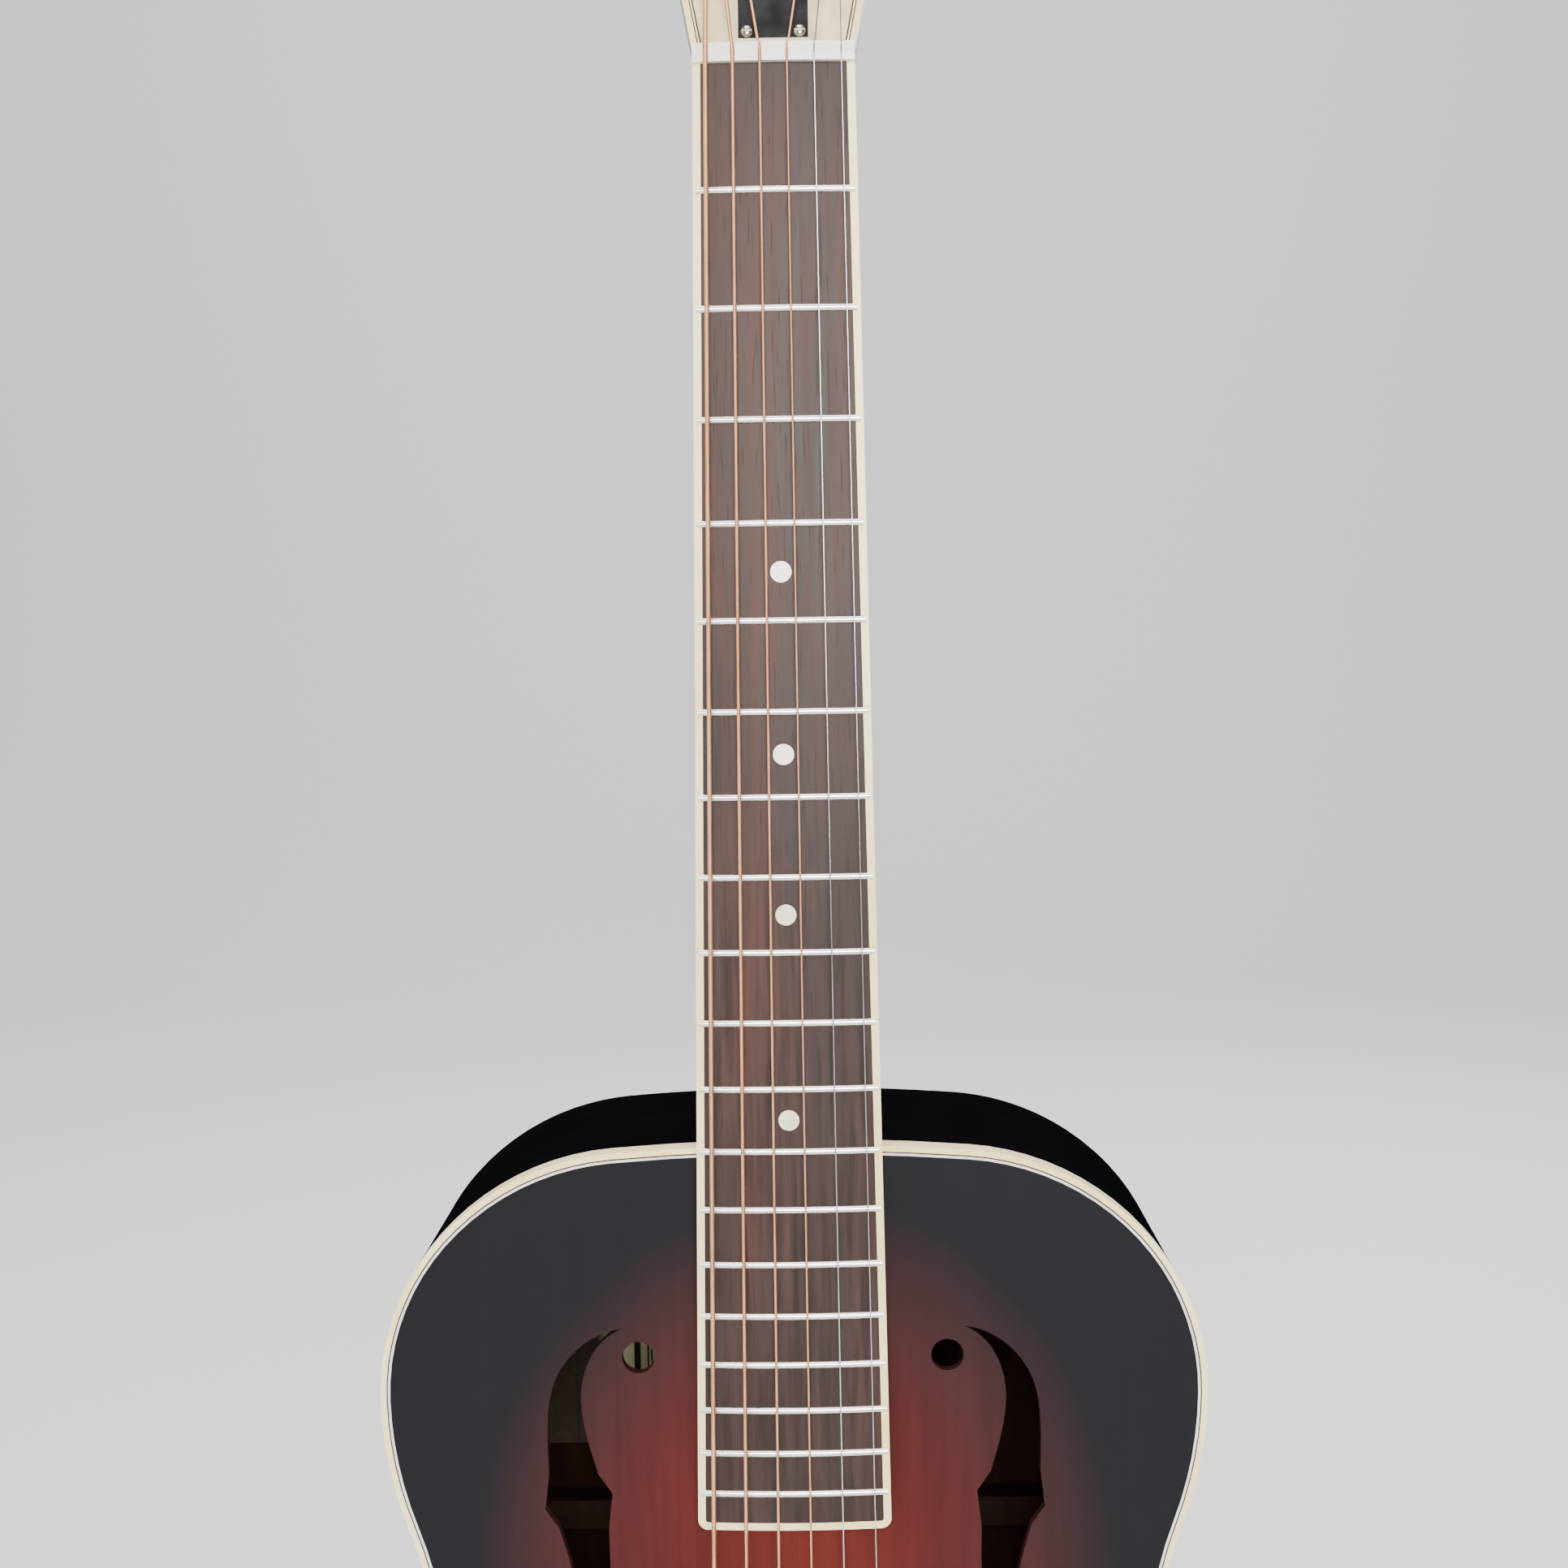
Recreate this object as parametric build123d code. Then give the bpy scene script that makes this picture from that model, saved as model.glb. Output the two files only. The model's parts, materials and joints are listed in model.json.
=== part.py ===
from build123d import *
import os
from math import asin, cos, degrees, hypot, pi, radians, sin, sqrt

# Wooden-bodied resonator guitar with a single cone, in millimetres.
# +X is the treble side, +Z runs up the neck, and the playing face looks towards -Y.
# The origin is on the centre line, on the fingerboard's crown, at the nut's playing edge.

# --- driving dimensions ---------------------------------------------------------------------
SCALE = 635.0               # nut to saddle
FRETS = 19
DOT_FRETS = (5, 7, 9, 12)
BODY_JOIN = SCALE / 2       # the body starts at the 12th fret

# Fingerboard
BOARD_HALF_AT_NUT = 23.3
BOARD_SPREAD = 0.01405      # gain of half width for each millimetre away from the nut
BOARD_LENGTH = 434.6
BOARD_THICK = 8.0           # at the crown
BOARD_RADIUS = 305.0
BOARD_BINDING = 2.3
FRET_WIDTH = 2.2
FRET_HEIGHT = 1.0
FRET_END = 0.9              # how far a fret stops short of the board's edge
TANG_WIDTH = 0.55
TANG_DEPTH = 1.9
DOT_RADIUS = 3.1

# Body: tangent arcs of half the outline, each a radius and the angle that it turns, from the
# neck joint round the upper bout, the waist (negative, as it turns the other way) and the
# lower bout. The last arc closes the outline on the centre line.
BODY_ARCS = ((694, 4.5), (80, 43.5), (73.5, 42.6), (123, 19.6), (134, -60.9), (145, 103.6))
BODY_FACE = BOARD_THICK
BODY_DEPTH_NECK = 78.0
BODY_DEPTH_TAIL = 84.0
BODY_LENGTH = 500.68         # the arcs close on the centre line at this length
TAIL = BODY_JOIN + BODY_LENGTH
PLATE_THICK = 3.5           # soundboard and back
SIDE_THICK = 3.0
BINDING_WIDE = 1.8
BINDING_DEEP = 6.5
PURFLING_WIDE = 1.2
PURFLING_DEEP = 1.5
LINING_WIDE = 6.0
LINING_DEEP = 12.0
BACK_EDGE_ROUND = 2.5

# f-holes: each turns into itself by half a turn about its centre
F_CENTRE = (66.35, -428.5)
F_TIP = (52.5, -374.3)
F_EYE = (47.2, -383.2)
F_EYE_RADIUS = 4.9

# Resonator, centred on the saddle line
CONE_RADIUS = 120.5
CONE_RIM_Y = 35.5
CONE_TOP_Y = 11.5
CONE_SHEET = 0.6
WELL_RADIUS = 125.0
WELL_WALL = 6.0
LEDGE_WIDE = 12.0
LEDGE_THICK = 6.0
COVER_RADIUS = 136.5
COVER_SHEET = 0.9
BISCUIT_RADIUS = 31.75
BISCUIT_THICK = 7.5
SADDLE_THICK = 2.8

# Coverplate and palm rest. A ring of slots is a count, an inner and an outer radius.
COVER_SCREW_RADIUS = 131.8
COVER_SCREWS_ROUND = 9
COVER_SLOTS = ((36, 98.0, 117.0), (30, 77.0, 92.0))
COVER_SLOT_WIDTH = 3.4
REST_HALF = 46.0
REST_FOOT = 58.0
REST_LONG = 30.0
REST_TOP_Y = -17.0
REST_SHEET = 1.3
FLAT_Y = BODY_FACE - COVER_SHEET - 6.2      # the coverplate's raised middle

# Strings, from the low one at -X to the high one
STRING_DIAMETERS = (1.35, 1.07, 0.81, 0.61, 0.41, 0.31)
NUT_SPREAD = 38.8
SADDLE_SPREAD = 53.4
BALL_SPREAD = 50.0
NUT_SLOT_Y = -1.5           # bottom of a slot on the centre line
SADDLE_TOP_Y = -5.2
BALL_Y = 2.0
NUT_THICK = 5.2

# Headstock
HEAD_TILT = 14.0
HEAD_THICK = 14.0
HEAD_LENGTH = 178.0
OVERLAY = 1.5
HEAD_BINDING = 1.8
POSTS = ((22.0, 50.0), (24.0, 87.0), (26.0, 124.0))
POST_RADIUS = 3.0
BUSHING_RADIUS = 4.1
WAIST_RADIUS = 2.5
WRAP_LEVEL = 8.0            # height of the windings over the headstock's wood
WRAP_ANGLE = 270.0
TRUSS_COVER_SCREWS = ((-7.6, 3.6), (7.6, 3.6), (0.0, 52.0))

# Tuning machine
MODULE = 0.8
GEAR_TEETH = 15
GEAR_THICK = 2.5
WORM_PITCH_RADIUS = 2.8
WORM_ROOT_RADIUS = 1.9
WORM_TURNS = 3.0
STRIP_THICK = 1.0
SHAFT_RADIUS = 1.6
SHAFT_HEIGHT = 4.9          # over the headstock's back
RUNNING = 0.06              # radial clearance of a turning fit
WORM_OFFSET = MODULE * GEAR_TEETH / 2 + WORM_PITCH_RADIUS
POST_STEP = hypot(POSTS[1][0] - POSTS[0][0], POSTS[1][1] - POSTS[0][1])
STRIP_SCREWS = (-56.0, -22.0, 16.0, 50.0)   # along the strip, from its middle post
LUG_THICK = 1.2
LUG_PLACES = (-6.2, 5.0)

# Tailpiece
HINGE_Y = 3.5
HINGE_Z = -TAIL + 1.0
KNUCKLE_RADIUS = 2.5
HINGE_PIN_RADIUS = 1.5
BAR_Z = (-759.0, -751.0)
BAR_Y = (-0.6, 3.4)
BRACKET_SCREWS = ((-7.5, 22.0), (7.5, 22.0), (0.0, 34.0))

HEAD = Plane(
    origin=(0, 6.0, NUT_THICK),
    x_dir=(1, 0, 0),
    z_dir=(0, -cos(radians(HEAD_TILT)), sin(radians(HEAD_TILT))),
)
BACK_SLOPE = (BODY_DEPTH_TAIL - BODY_DEPTH_NECK) / BODY_LENGTH


# --- helpers --------------------------------------------------------------------------------
def slab(profile, y_front, y_back):
    """Solid of a profile drawn in (X, Z), between two depths behind the fingerboard's crown."""
    return extrude(Plane.XZ.offset(-y_front) * profile, amount=y_back - y_front, dir=(0, 1, 0))


def on_head(profile, low, high):
    """Solid of a profile drawn on the headstock's face, between two heights over its wood."""
    return extrude(HEAD.offset(low) * profile, amount=high - low, dir=HEAD.z_dir)


def along_neck(profile, z_low, z_high):
    """Solid of a profile drawn in (X, Y), between two places along the neck."""
    plane = Plane(origin=(0, 0, z_low), x_dir=(1, 0, 0), z_dir=(0, 0, 1))
    return extrude(plane * profile, amount=z_high - z_low, dir=(0, 0, 1))


def block(x, y, z):
    """Box given by its low and high x, y and z."""
    size = (x[1] - x[0], y[1] - y[0], z[1] - z[0])
    centre = ((x[0] + x[1]) / 2, (y[0] + y[1]) / 2, (z[0] + z[1]) / 2)
    return Pos(*centre) * Box(*size)


def rod(start, end, radius):
    """Round bar between two points."""
    start = Vector(*start)
    way = Vector(*end) - start
    return extrude(Plane(origin=start, z_dir=way) * Circle(radius), amount=way.length)


def back_plane(depth=0.0):
    """The back's outer face, or a plane that lies `depth` further inside."""
    origin = (0, BODY_FACE + BODY_DEPTH_NECK - depth, -BODY_JOIN)
    return Plane(origin=origin, x_dir=(1, 0, 0), z_dir=(0, 1, BACK_SLOPE))


def body_outline(inset=0.0):
    """Face inside the body's outline, with every arc moved inwards by `inset`."""
    point = Vector(0, -BODY_JOIN - inset)
    heading = Vector(1, 0)
    half = []
    for radius, turn in BODY_ARCS:
        moved = radius - inset if turn > 0 else radius + inset
        arc = JernArc(point, heading, moved, -turn)
        half.append(arc)
        point = arc @ 1
        heading = arc % 1
    rest = 180 - sum(turn for _, turn in BODY_ARCS)
    half.append(JernArc(point, heading, point.X / sin(radians(rest)), -rest))
    other = [edge.mirror(Plane.YZ) for edge in half]
    return make_face(Wire(half + other))


def ring(outer_inset, inner_inset, y_front, y_back):
    """Band that follows the body's outline between two insets and two depths."""
    outer = slab(body_outline(outer_inset), y_front, y_back)
    return outer - slab(body_outline(inner_inset), y_front - 1, y_back + 1)


def board_half(z):
    return BOARD_HALF_AT_NUT - BOARD_SPREAD * z


def board_outline(inset=0.0):
    """The fingerboard from above, tapered, with its sides and body end moved in by `inset`."""
    end = -BOARD_LENGTH + inset
    shape = Polygon(
        (-board_half(0) + inset, 0),
        (board_half(0) - inset, 0),
        (board_half(end) - inset, end),
        (-board_half(end) + inset, end),
        align=None,
    )
    return fillet(shape.vertices().sort_by(Axis.Y)[:2], max(3.0 - inset, 0.8))


def crown_drop(x, radius=BOARD_RADIUS):
    """How far the fingerboard's crown has fallen at a distance from the centre line."""
    return radius - sqrt(radius * radius - x * x)


def fret_z(number):
    return -SCALE * (1 - 2 ** (-number / 12))


def spread_x(index, spread):
    """Place of string 0 to 5 across an even spread."""
    return spread * (index / 5 - 0.5)


def turned_about_crown(profile, z, half_width):
    """Sweep a profile, drawn in (height over the board, along the neck), across the board."""
    half_angle = degrees(asin(half_width / BOARD_RADIUS))
    plane = Plane(origin=(0, 0, z), x_dir=(0, -1, 0), z_dir=(1, 0, 0))
    axis = Axis((0, BOARD_RADIUS, z), (0, 0, 1))
    return revolve(plane * profile, axis, 2 * half_angle).rotate(axis, -half_angle)


# --- body -----------------------------------------------------------------------------------
def f_hole():
    """Outline of the treble side's f-hole, in (X, Z)."""
    cx, cz = F_CENTRE

    def opposite(point):
        return (2 * cx - point[0], 2 * cz - point[1])

    outer_nick = (76.7, -431.0)
    outer = Spline(F_TIP, (63.0, -378.3), (72.5, -389.5), (75.5, -405.0), (75.4, -420.0))
    inner = Spline(F_TIP, (59.4, -379.4), (64.5, -390.5), (63.4, -408.5), (60.2, -420.0))
    inner_nick = opposite(outer_nick)
    far_outer = [opposite(p) for p in ((60.2, -420.0), (63.4, -408.5), (64.5, -390.5),
                                       (59.4, -379.4), F_TIP)]
    far_inner = [opposite(p) for p in ((75.4, -420.0), (75.5, -405.0), (72.5, -389.5),
                                       (63.0, -378.3), F_TIP)]
    edges = [
        outer,
        Line((75.4, -420.0), outer_nick),
        Line(outer_nick, far_outer[0]),
        Spline(*far_outer),
        Spline(*reversed(far_inner)),
        Line(far_inner[0], inner_nick),
        Line(inner_nick, (60.2, -420.0)),
        inner,
    ]
    return make_face(Wire(edges))


def f_hole_cutters():
    """The openings of one side: the f and its two round eyes."""
    far_eye = (2 * F_CENTRE[0] - F_EYE[0], 2 * F_CENTRE[1] - F_EYE[1])
    shapes = [f_hole()]
    for x, z in (F_EYE, far_eye):
        shapes.append(Pos(x, z) * Circle(F_EYE_RADIUS))
    return [slab(shape, BODY_FACE - 1, BODY_FACE + PLATE_THICK + 1) for shape in shapes]


def make_soundboard():
    top = slab(body_outline(BINDING_WIDE), BODY_FACE, BODY_FACE + PLATE_THICK)
    edge = ring(BINDING_WIDE - 1, BINDING_WIDE + PURFLING_WIDE, BODY_FACE - 1, BODY_FACE + PURFLING_DEEP)
    top -= edge
    top -= slab(Pos(0, -SCALE) * Circle(WELL_RADIUS), BODY_FACE - 1, BODY_FACE + PLATE_THICK + 1)
    for cutter in f_hole_cutters():
        top -= cutter
        top -= cutter.mirror(Plane.YZ)
    return top


def make_back():
    prism = slab(body_outline(), BODY_FACE, BODY_FACE + 100)
    plate = split(prism, bisect_by=back_plane(), keep=Keep.BOTTOM)
    plate = split(plate, bisect_by=back_plane(PLATE_THICK), keep=Keep.TOP)
    outside = plate.faces().filter_by(GeomType.PLANE).sort_by(Axis.Y)[-1]
    return fillet(outside.edges(), BACK_EDGE_ROUND)


def inside_back(shape, depth=PLATE_THICK):
    """Trim a shape to what lies in front of the back plate."""
    return split(shape, bisect_by=back_plane(depth), keep=Keep.BOTTOM)


def tenon():
    return block((-12.5, 12.5), (BODY_FACE + BINDING_DEEP, 62), (-BODY_JOIN - 22, -BODY_JOIN + 3))


def make_sides():
    wall = ring(0, SIDE_THICK, BODY_FACE + PLATE_THICK, BODY_FACE + 100)
    wall -= ring(-1, BINDING_WIDE, BODY_FACE - 1, BODY_FACE + BINDING_DEEP)
    wall = inside_back(wall) - tenon()
    wall -= rod((0, 50, -TAIL - 5), (0, 50, -TAIL + 30), 3.0)
    left = split(wall, bisect_by=Plane.YZ, keep=Keep.BOTTOM)
    right = split(wall, bisect_by=Plane.YZ, keep=Keep.TOP)
    return left, right


def make_neck_block():
    body = block((-34, 34), (BODY_FACE + PLATE_THICK, 100), (-BODY_JOIN - 34, -BODY_JOIN))
    body = inside_back(body & slab(body_outline(SIDE_THICK), BODY_FACE, 110))
    return body - tenon()


def make_tail_block():
    body = block((-38, 38), (BODY_FACE + PLATE_THICK, 100), (-TAIL, -TAIL + 20))
    body = inside_back(body & slab(body_outline(SIDE_THICK), BODY_FACE, 110))
    return body - rod((0, 50, -TAIL - 5), (0, 50, -TAIL + 30), 3.0)


def make_linings(neck_block_gap, tail_block_gap):
    band = ring(SIDE_THICK, SIDE_THICK + LINING_WIDE, BODY_FACE + PLATE_THICK, BODY_FACE + 100)
    band -= neck_block_gap
    band -= tail_block_gap
    front_depth = BODY_FACE + PLATE_THICK + LINING_DEEP
    front = band & block((-200, 200), (0, front_depth), (-900, -300))
    rear = split(inside_back(band), bisect_by=back_plane(PLATE_THICK + LINING_DEEP), keep=Keep.TOP)
    return Compound(front.solids() + rear.solids())


def make_braces():
    """Two bars under the soundboard, three across the back."""
    solids = []
    front_y = BODY_FACE + PLATE_THICK
    solids.append(block((-92, 92), (front_y, front_y + 12), (-366, -357)))
    inner = slab(body_outline(SIDE_THICK + LINING_WIDE), BODY_FACE, 110)
    solids.append(block((-150, 150), (front_y, front_y + 9), (-784, -776)) & inner)
    for z in (-376, -462, -790):
        bar = block((-200, 200), (60, 110), (z - 5, z + 5)) & inner
        bar = split(inside_back(bar), bisect_by=back_plane(PLATE_THICK + 11), keep=Keep.TOP)
        solids.append(bar)
    return Compound([s for shape in solids for s in shape.solids()])


def make_soundwell():
    outer = Pos(0, -SCALE) * Circle(WELL_RADIUS + WELL_WALL)
    inner = Pos(0, -SCALE) * Circle(WELL_RADIUS)
    well = inside_back(slab(outer - inner, BODY_FACE + PLATE_THICK, 110))
    for step in range(12):
        angle = radians(15 + 30 * step)
        way = (cos(angle), sin(angle))
        start = (way[0] * 100, 64, -SCALE + way[1] * 100)
        end = (way[0] * 150, 64, -SCALE + way[1] * 150)
        well -= rod(start, end, 13.0)
    return well


def make_ledge():
    shape = Circle(WELL_RADIUS) - Circle(WELL_RADIUS - LEDGE_WIDE)
    return slab(Pos(0, -SCALE) * shape, CONE_RIM_Y, CONE_RIM_Y + LEDGE_THICK)


def make_label():
    """Paper label on the inside of the back, under the bass side's f-hole."""
    paper = block((-108, -47), (60, 110), (-441, -383))
    paper = split(inside_back(paper), bisect_by=back_plane(PLATE_THICK + 0.3), keep=Keep.TOP)
    return paper


def make_body_binding():
    return ring(0, BINDING_WIDE, BODY_FACE, BODY_FACE + BINDING_DEEP)


def make_purfling():
    inner = BINDING_WIDE + PURFLING_WIDE
    return ring(BINDING_WIDE, inner, BODY_FACE, BODY_FACE + PURFLING_DEEP)


# --- neck -----------------------------------------------------------------------------------
def neck_section(z, depth, fullness, keel):
    """Cross-section of the neck: flat under the fingerboard, round at the back."""
    half = board_half(z)
    top = BODY_FACE
    plane = Plane(origin=(0, 0, z), x_dir=(1, 0, 0), z_dir=(0, 0, 1))
    right = Bezier((half, top), (half, top + fullness * depth), (keel * half, top + depth),
                   (0, top + depth))
    left = Bezier((0, top + depth), (-keel * half, top + depth),
                  (-half, top + fullness * depth), (-half, top))
    return plane * make_face(Wire([right, left, Line((-half, top), (half, top))]))


def make_neck():
    """Shaft, heel, tenon and headstock in one piece of wood."""
    stations = (
        (NUT_THICK, 13.0, 0.62, 0.62),
        (-110.0, 14.0, 0.62, 0.62),
        (-235.0, 15.5, 0.62, 0.62),
    )
    shaft = loft([neck_section(*station) for station in stations])
    heel_stations = (
        (-235.0, 15.5, 0.62, 0.62),
        (-262.0, 17.5, 0.62, 0.62),
        (-284.0, 25.0, 0.60, 0.60),
        (-300.0, 39.0, 0.55, 0.55),
        (-311.0, 57.0, 0.48, 0.50),
        (-BODY_JOIN - 1.0, 72.0, 0.45, 0.50),
    )
    heel = loft([neck_section(*station) for station in heel_stations])
    heel -= slab(body_outline(), 0, 110)
    heel -= block((-40, 40), (BODY_FACE + 70, 110), (-330, -300))
    head = on_head(head_outline(), -HEAD_THICK, 0)
    neck = shaft + heel + tenon() + head
    neck -= block((-40, 40), (-10, BODY_FACE), (-10, NUT_THICK))
    neck -= on_head(head_outline(), -3.0, 1) - on_head(head_outline(HEAD_BINDING), -4.0, 2)
    neck -= truss_channel()
    holes = [on_head(Pos(x, v) * Circle(BUSHING_RADIUS), -HEAD_THICK - 5, 1) for x, v, _ in each_post()]
    return neck - holes


def head_outline(inset=0.0):
    """Headstock from the front: it flares from the nut and ends in a shallow crest."""
    flare = Line((23.6 - inset, 0), (33.0 - inset, 52))
    side = TangentArc(flare @ 1, (38.5 - inset, HEAD_LENGTH - 12), tangent=flare % 1)
    corner_start = side @ 1
    crest = ThreePointArc(
        corner_start,
        (0, HEAD_LENGTH - inset),
        (-corner_start.X, corner_start.Y),
    )
    left = [edge.mirror(Plane.YZ) for edge in (flare, side)]
    foot = Line((-23.6 + inset, 0), (23.6 - inset, 0))
    face = make_face(Wire([flare, side, crest, *left, foot]))
    corners = face.vertices().filter_by(lambda v: v.Y > HEAD_LENGTH - 20)
    return fillet(corners, 7.0 - inset)


def each_post():
    """Place of each post on the headstock (x, v) and its side, in string order."""
    for x, v in POSTS:
        yield -x, v, -1
    for x, v in reversed(POSTS):
        yield x, v, 1


def truss_pocket():
    """Opening in the headstock's face that gives access to the truss-rod nut."""
    return Pos(0, 14) * RectangleRounded(11, 22, 4)


def truss_channel():
    channel = block((-3.2, 3.2), (BODY_FACE - 1, BODY_FACE + 7), (-300, 24))
    return channel + on_head(truss_pocket(), -9, 1)


def make_truss_rod():
    return rod((0, BODY_FACE + 3.6, -299), (0, BODY_FACE + 3.6, 8), 3.0)


def make_truss_nut():
    nut = along_neck(Pos(0, BODY_FACE + 3.6) * RegularPolygon(4.2, 6), 8, 15)
    return nut - rod((0, BODY_FACE + 3.6, 10), (0, BODY_FACE + 3.6, 30), 1.6)


def crown_cylinder():
    """Everything that lies under the fingerboard's crowned surface."""
    return along_neck(Pos(0, BOARD_RADIUS) * Circle(BOARD_RADIUS), -600, 100)


def tang(number):
    profile = Pos(-TANG_DEPTH / 2, 0) * Rectangle(TANG_DEPTH, TANG_WIDTH)
    z = fret_z(number)
    return turned_about_crown(profile, z, board_half(z) - BOARD_BINDING - 0.8)


def make_fret(number):
    rise = ThreePointArc((0, -FRET_WIDTH / 2), (FRET_HEIGHT, 0), (0, FRET_WIDTH / 2))
    profile = make_face(Wire([rise, Line((0, FRET_WIDTH / 2), (0, -FRET_WIDTH / 2))]))
    z = fret_z(number)
    return turned_about_crown(profile, z, board_half(z) - FRET_END) + tang(number)


def dot_disc(number):
    z = (fret_z(number - 1) + fret_z(number)) / 2
    disc = slab(Pos(0, z) * Circle(DOT_RADIUS), -1, 1.5)
    return disc & crown_cylinder()


def make_fingerboard():
    board = slab(board_outline(BOARD_BINDING), -1, BOARD_THICK) & crown_cylinder()
    for number in range(1, FRETS + 1):
        board -= tang(number)
    for number in DOT_FRETS:
        board -= dot_disc(number)
    return board


def make_fingerboard_binding():
    band = board_outline() - board_outline(BOARD_BINDING)
    return slab(band, -1, BOARD_THICK) & crown_cylinder()


def string_radius(index):
    return STRING_DIAMETERS[index] / 2


def nut_point(index):
    x = spread_x(index, NUT_SPREAD)
    return Vector(x, NUT_SLOT_Y + crown_drop(x) - string_radius(index), NUT_THICK / 2)


def make_nut():
    """Bone nut, crowned like the board, with a slot for each string."""
    half = BOARD_HALF_AT_NUT
    edge_y = -2.3 + crown_drop(half)
    crown = ThreePointArc((-half, edge_y), (0, -2.3), (half, edge_y))
    sides = [
        Line((half, edge_y), (half, BODY_FACE)),
        Line((half, BODY_FACE), (-half, BODY_FACE)),
        Line((-half, BODY_FACE), (-half, edge_y)),
    ]
    nut = along_neck(make_face(Wire([crown, *sides])), 0, NUT_THICK)
    for index in range(6):
        point = nut_point(index)
        r = string_radius(index) + 0.12
        nut -= block((point.X - r, point.X + r), (-6, point.Y), (-1, NUT_THICK + 1))
        nut -= rod((point.X, point.Y, -1), (point.X, point.Y, NUT_THICK + 1), r)
        nut -= rod((point.X, point.Y, NUT_THICK / 2), (point.X, point.Y + 1.6, NUT_THICK + 3), r)
    return nut


# --- headstock trim -------------------------------------------------------------------------
def cover_outline(inset=0.0):
    """Truss-rod cover: straight sides that close in a pointed arch."""
    half = 11.0 - inset
    right = ThreePointArc((half, 38), (half * 0.62, 50 - inset), (0, 57 - 1.6 * inset))
    left = ThreePointArc((0, 57 - 1.6 * inset), (-half * 0.62, 50 - inset), (-half, 38))
    edges = [
        Line((-half, 0.6 + inset), (half, 0.6 + inset)),
        Line((half, 0.6 + inset), (half, 38)),
        right,
        left,
        Line((-half, 38), (-half, 0.6 + inset)),
    ]
    return make_face(Wire(edges))


def make_overlay():
    plate = on_head(head_outline(HEAD_BINDING), 0, OVERLAY) - on_head(truss_pocket(), -1, OVERLAY + 1)
    holes = [on_head(Pos(x, v) * Circle(BUSHING_RADIUS), -1, OVERLAY + 1) for x, v, _ in each_post()]
    return plate - holes


def make_head_binding():
    trim = on_head(head_outline(), -3.0, OVERLAY) - on_head(head_outline(HEAD_BINDING), -4.0, OVERLAY + 1)
    return trim & block((-60, 60), (-10, 80), (NUT_THICK, 250))


def make_truss_cover():
    plane = HEAD.offset(OVERLAY)
    cover = on_head(cover_outline(), OVERLAY, OVERLAY + 2.0)
    top = cover.faces().sort_by(Axis(plane.origin, plane.z_dir))[-1]
    cover = chamfer(top.edges(), 0.9)
    return cover - [on_head(Pos(x, v) * Circle(1.1), 0, 6) for x, v in TRUSS_COVER_SCREWS]


def domed_screw(plane, head_radius, head_height, shank_radius, shank_length):
    """Slotted screw with a domed head that stands on the plane."""
    low = Line((0, 0), (head_radius, 0))
    dome = ThreePointArc((head_radius, 0), (head_radius * 0.72, head_height * 0.72), (0, head_height))
    profile = make_face(Wire([low, dome, Line((0, head_height), (0, 0))]))
    head = revolve(Plane.XZ * profile, Axis.Z)
    head -= Pos(0, 0, head_height) * Box(2.2 * head_radius, 0.28 * head_radius, head_height * 0.9)
    shank = Pos(0, 0, -shank_length / 2) * Cylinder(shank_radius, shank_length)
    return plane * (head + shank)


def make_cover_screws():
    plane = HEAD.offset(OVERLAY + 2.0)
    return Compound([domed_screw(plane * Pos(x, v), 1.9, 1.0, 1.05, 9) for x, v in TRUSS_COVER_SCREWS])


# --- tuning machines ------------------------------------------------------------------------
def strip_plane(side):
    """Back of the headstock under one strip: x points up the row of posts, z out of the back."""
    (x0, v0), (x1, v1), (x2, v2) = POSTS
    along = HEAD.x_dir * side * (x2 - x0) + HEAD.y_dir * (v2 - v0)
    origin = HEAD.from_local_coords(Vector(side * x1, v1, -HEAD_THICK))
    return Plane(origin=origin, x_dir=along, z_dir=-HEAD.z_dir)


def make_strip(side):
    """Mounting strip of three machines, with two lugs for each worm shaft."""
    plate = extrude(Pos(-3, 0) * RectangleRounded(115, 15, 5), amount=STRIP_THICK, dir=(0, 0, 1))
    lug = Pos(0, SHAFT_HEIGHT / 2) * Rectangle(7.0, SHAFT_HEIGHT) + Pos(0, SHAFT_HEIGHT) * Circle(3.5)
    holes = []
    for step in (-1, 0, 1):
        a = step * POST_STEP
        holes.append(Pos(a, 0) * Cylinder(POST_RADIUS + RUNNING, 5))
        for b in LUG_PLACES:
            upright = Plane(origin=(a - WORM_OFFSET, b, 0), x_dir=(1, 0, 0), z_dir=(0, -1, 0))
            plate += extrude(upright * lug, amount=LUG_THICK, dir=(0, 1, 0))
        start = (a - WORM_OFFSET, -10, SHAFT_HEIGHT)
        end = (a - WORM_OFFSET, 10, SHAFT_HEIGHT)
        holes.append(rod(start, end, SHAFT_RADIUS + RUNNING))
    for a in STRIP_SCREWS:
        holes.append(Pos(a, 0) * Cylinder(1.4, 5))
    return strip_plane(side).location * (plate - holes)


def make_strip_screws():
    screws = []
    for side in (-1, 1):
        for a in STRIP_SCREWS:
            plane = strip_plane(side).offset(STRIP_THICK) * Pos(a, 0)
            screws.append(domed_screw(plane, 2.5, 1.4, 1.3, 10))
    return Compound(screws)


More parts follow.
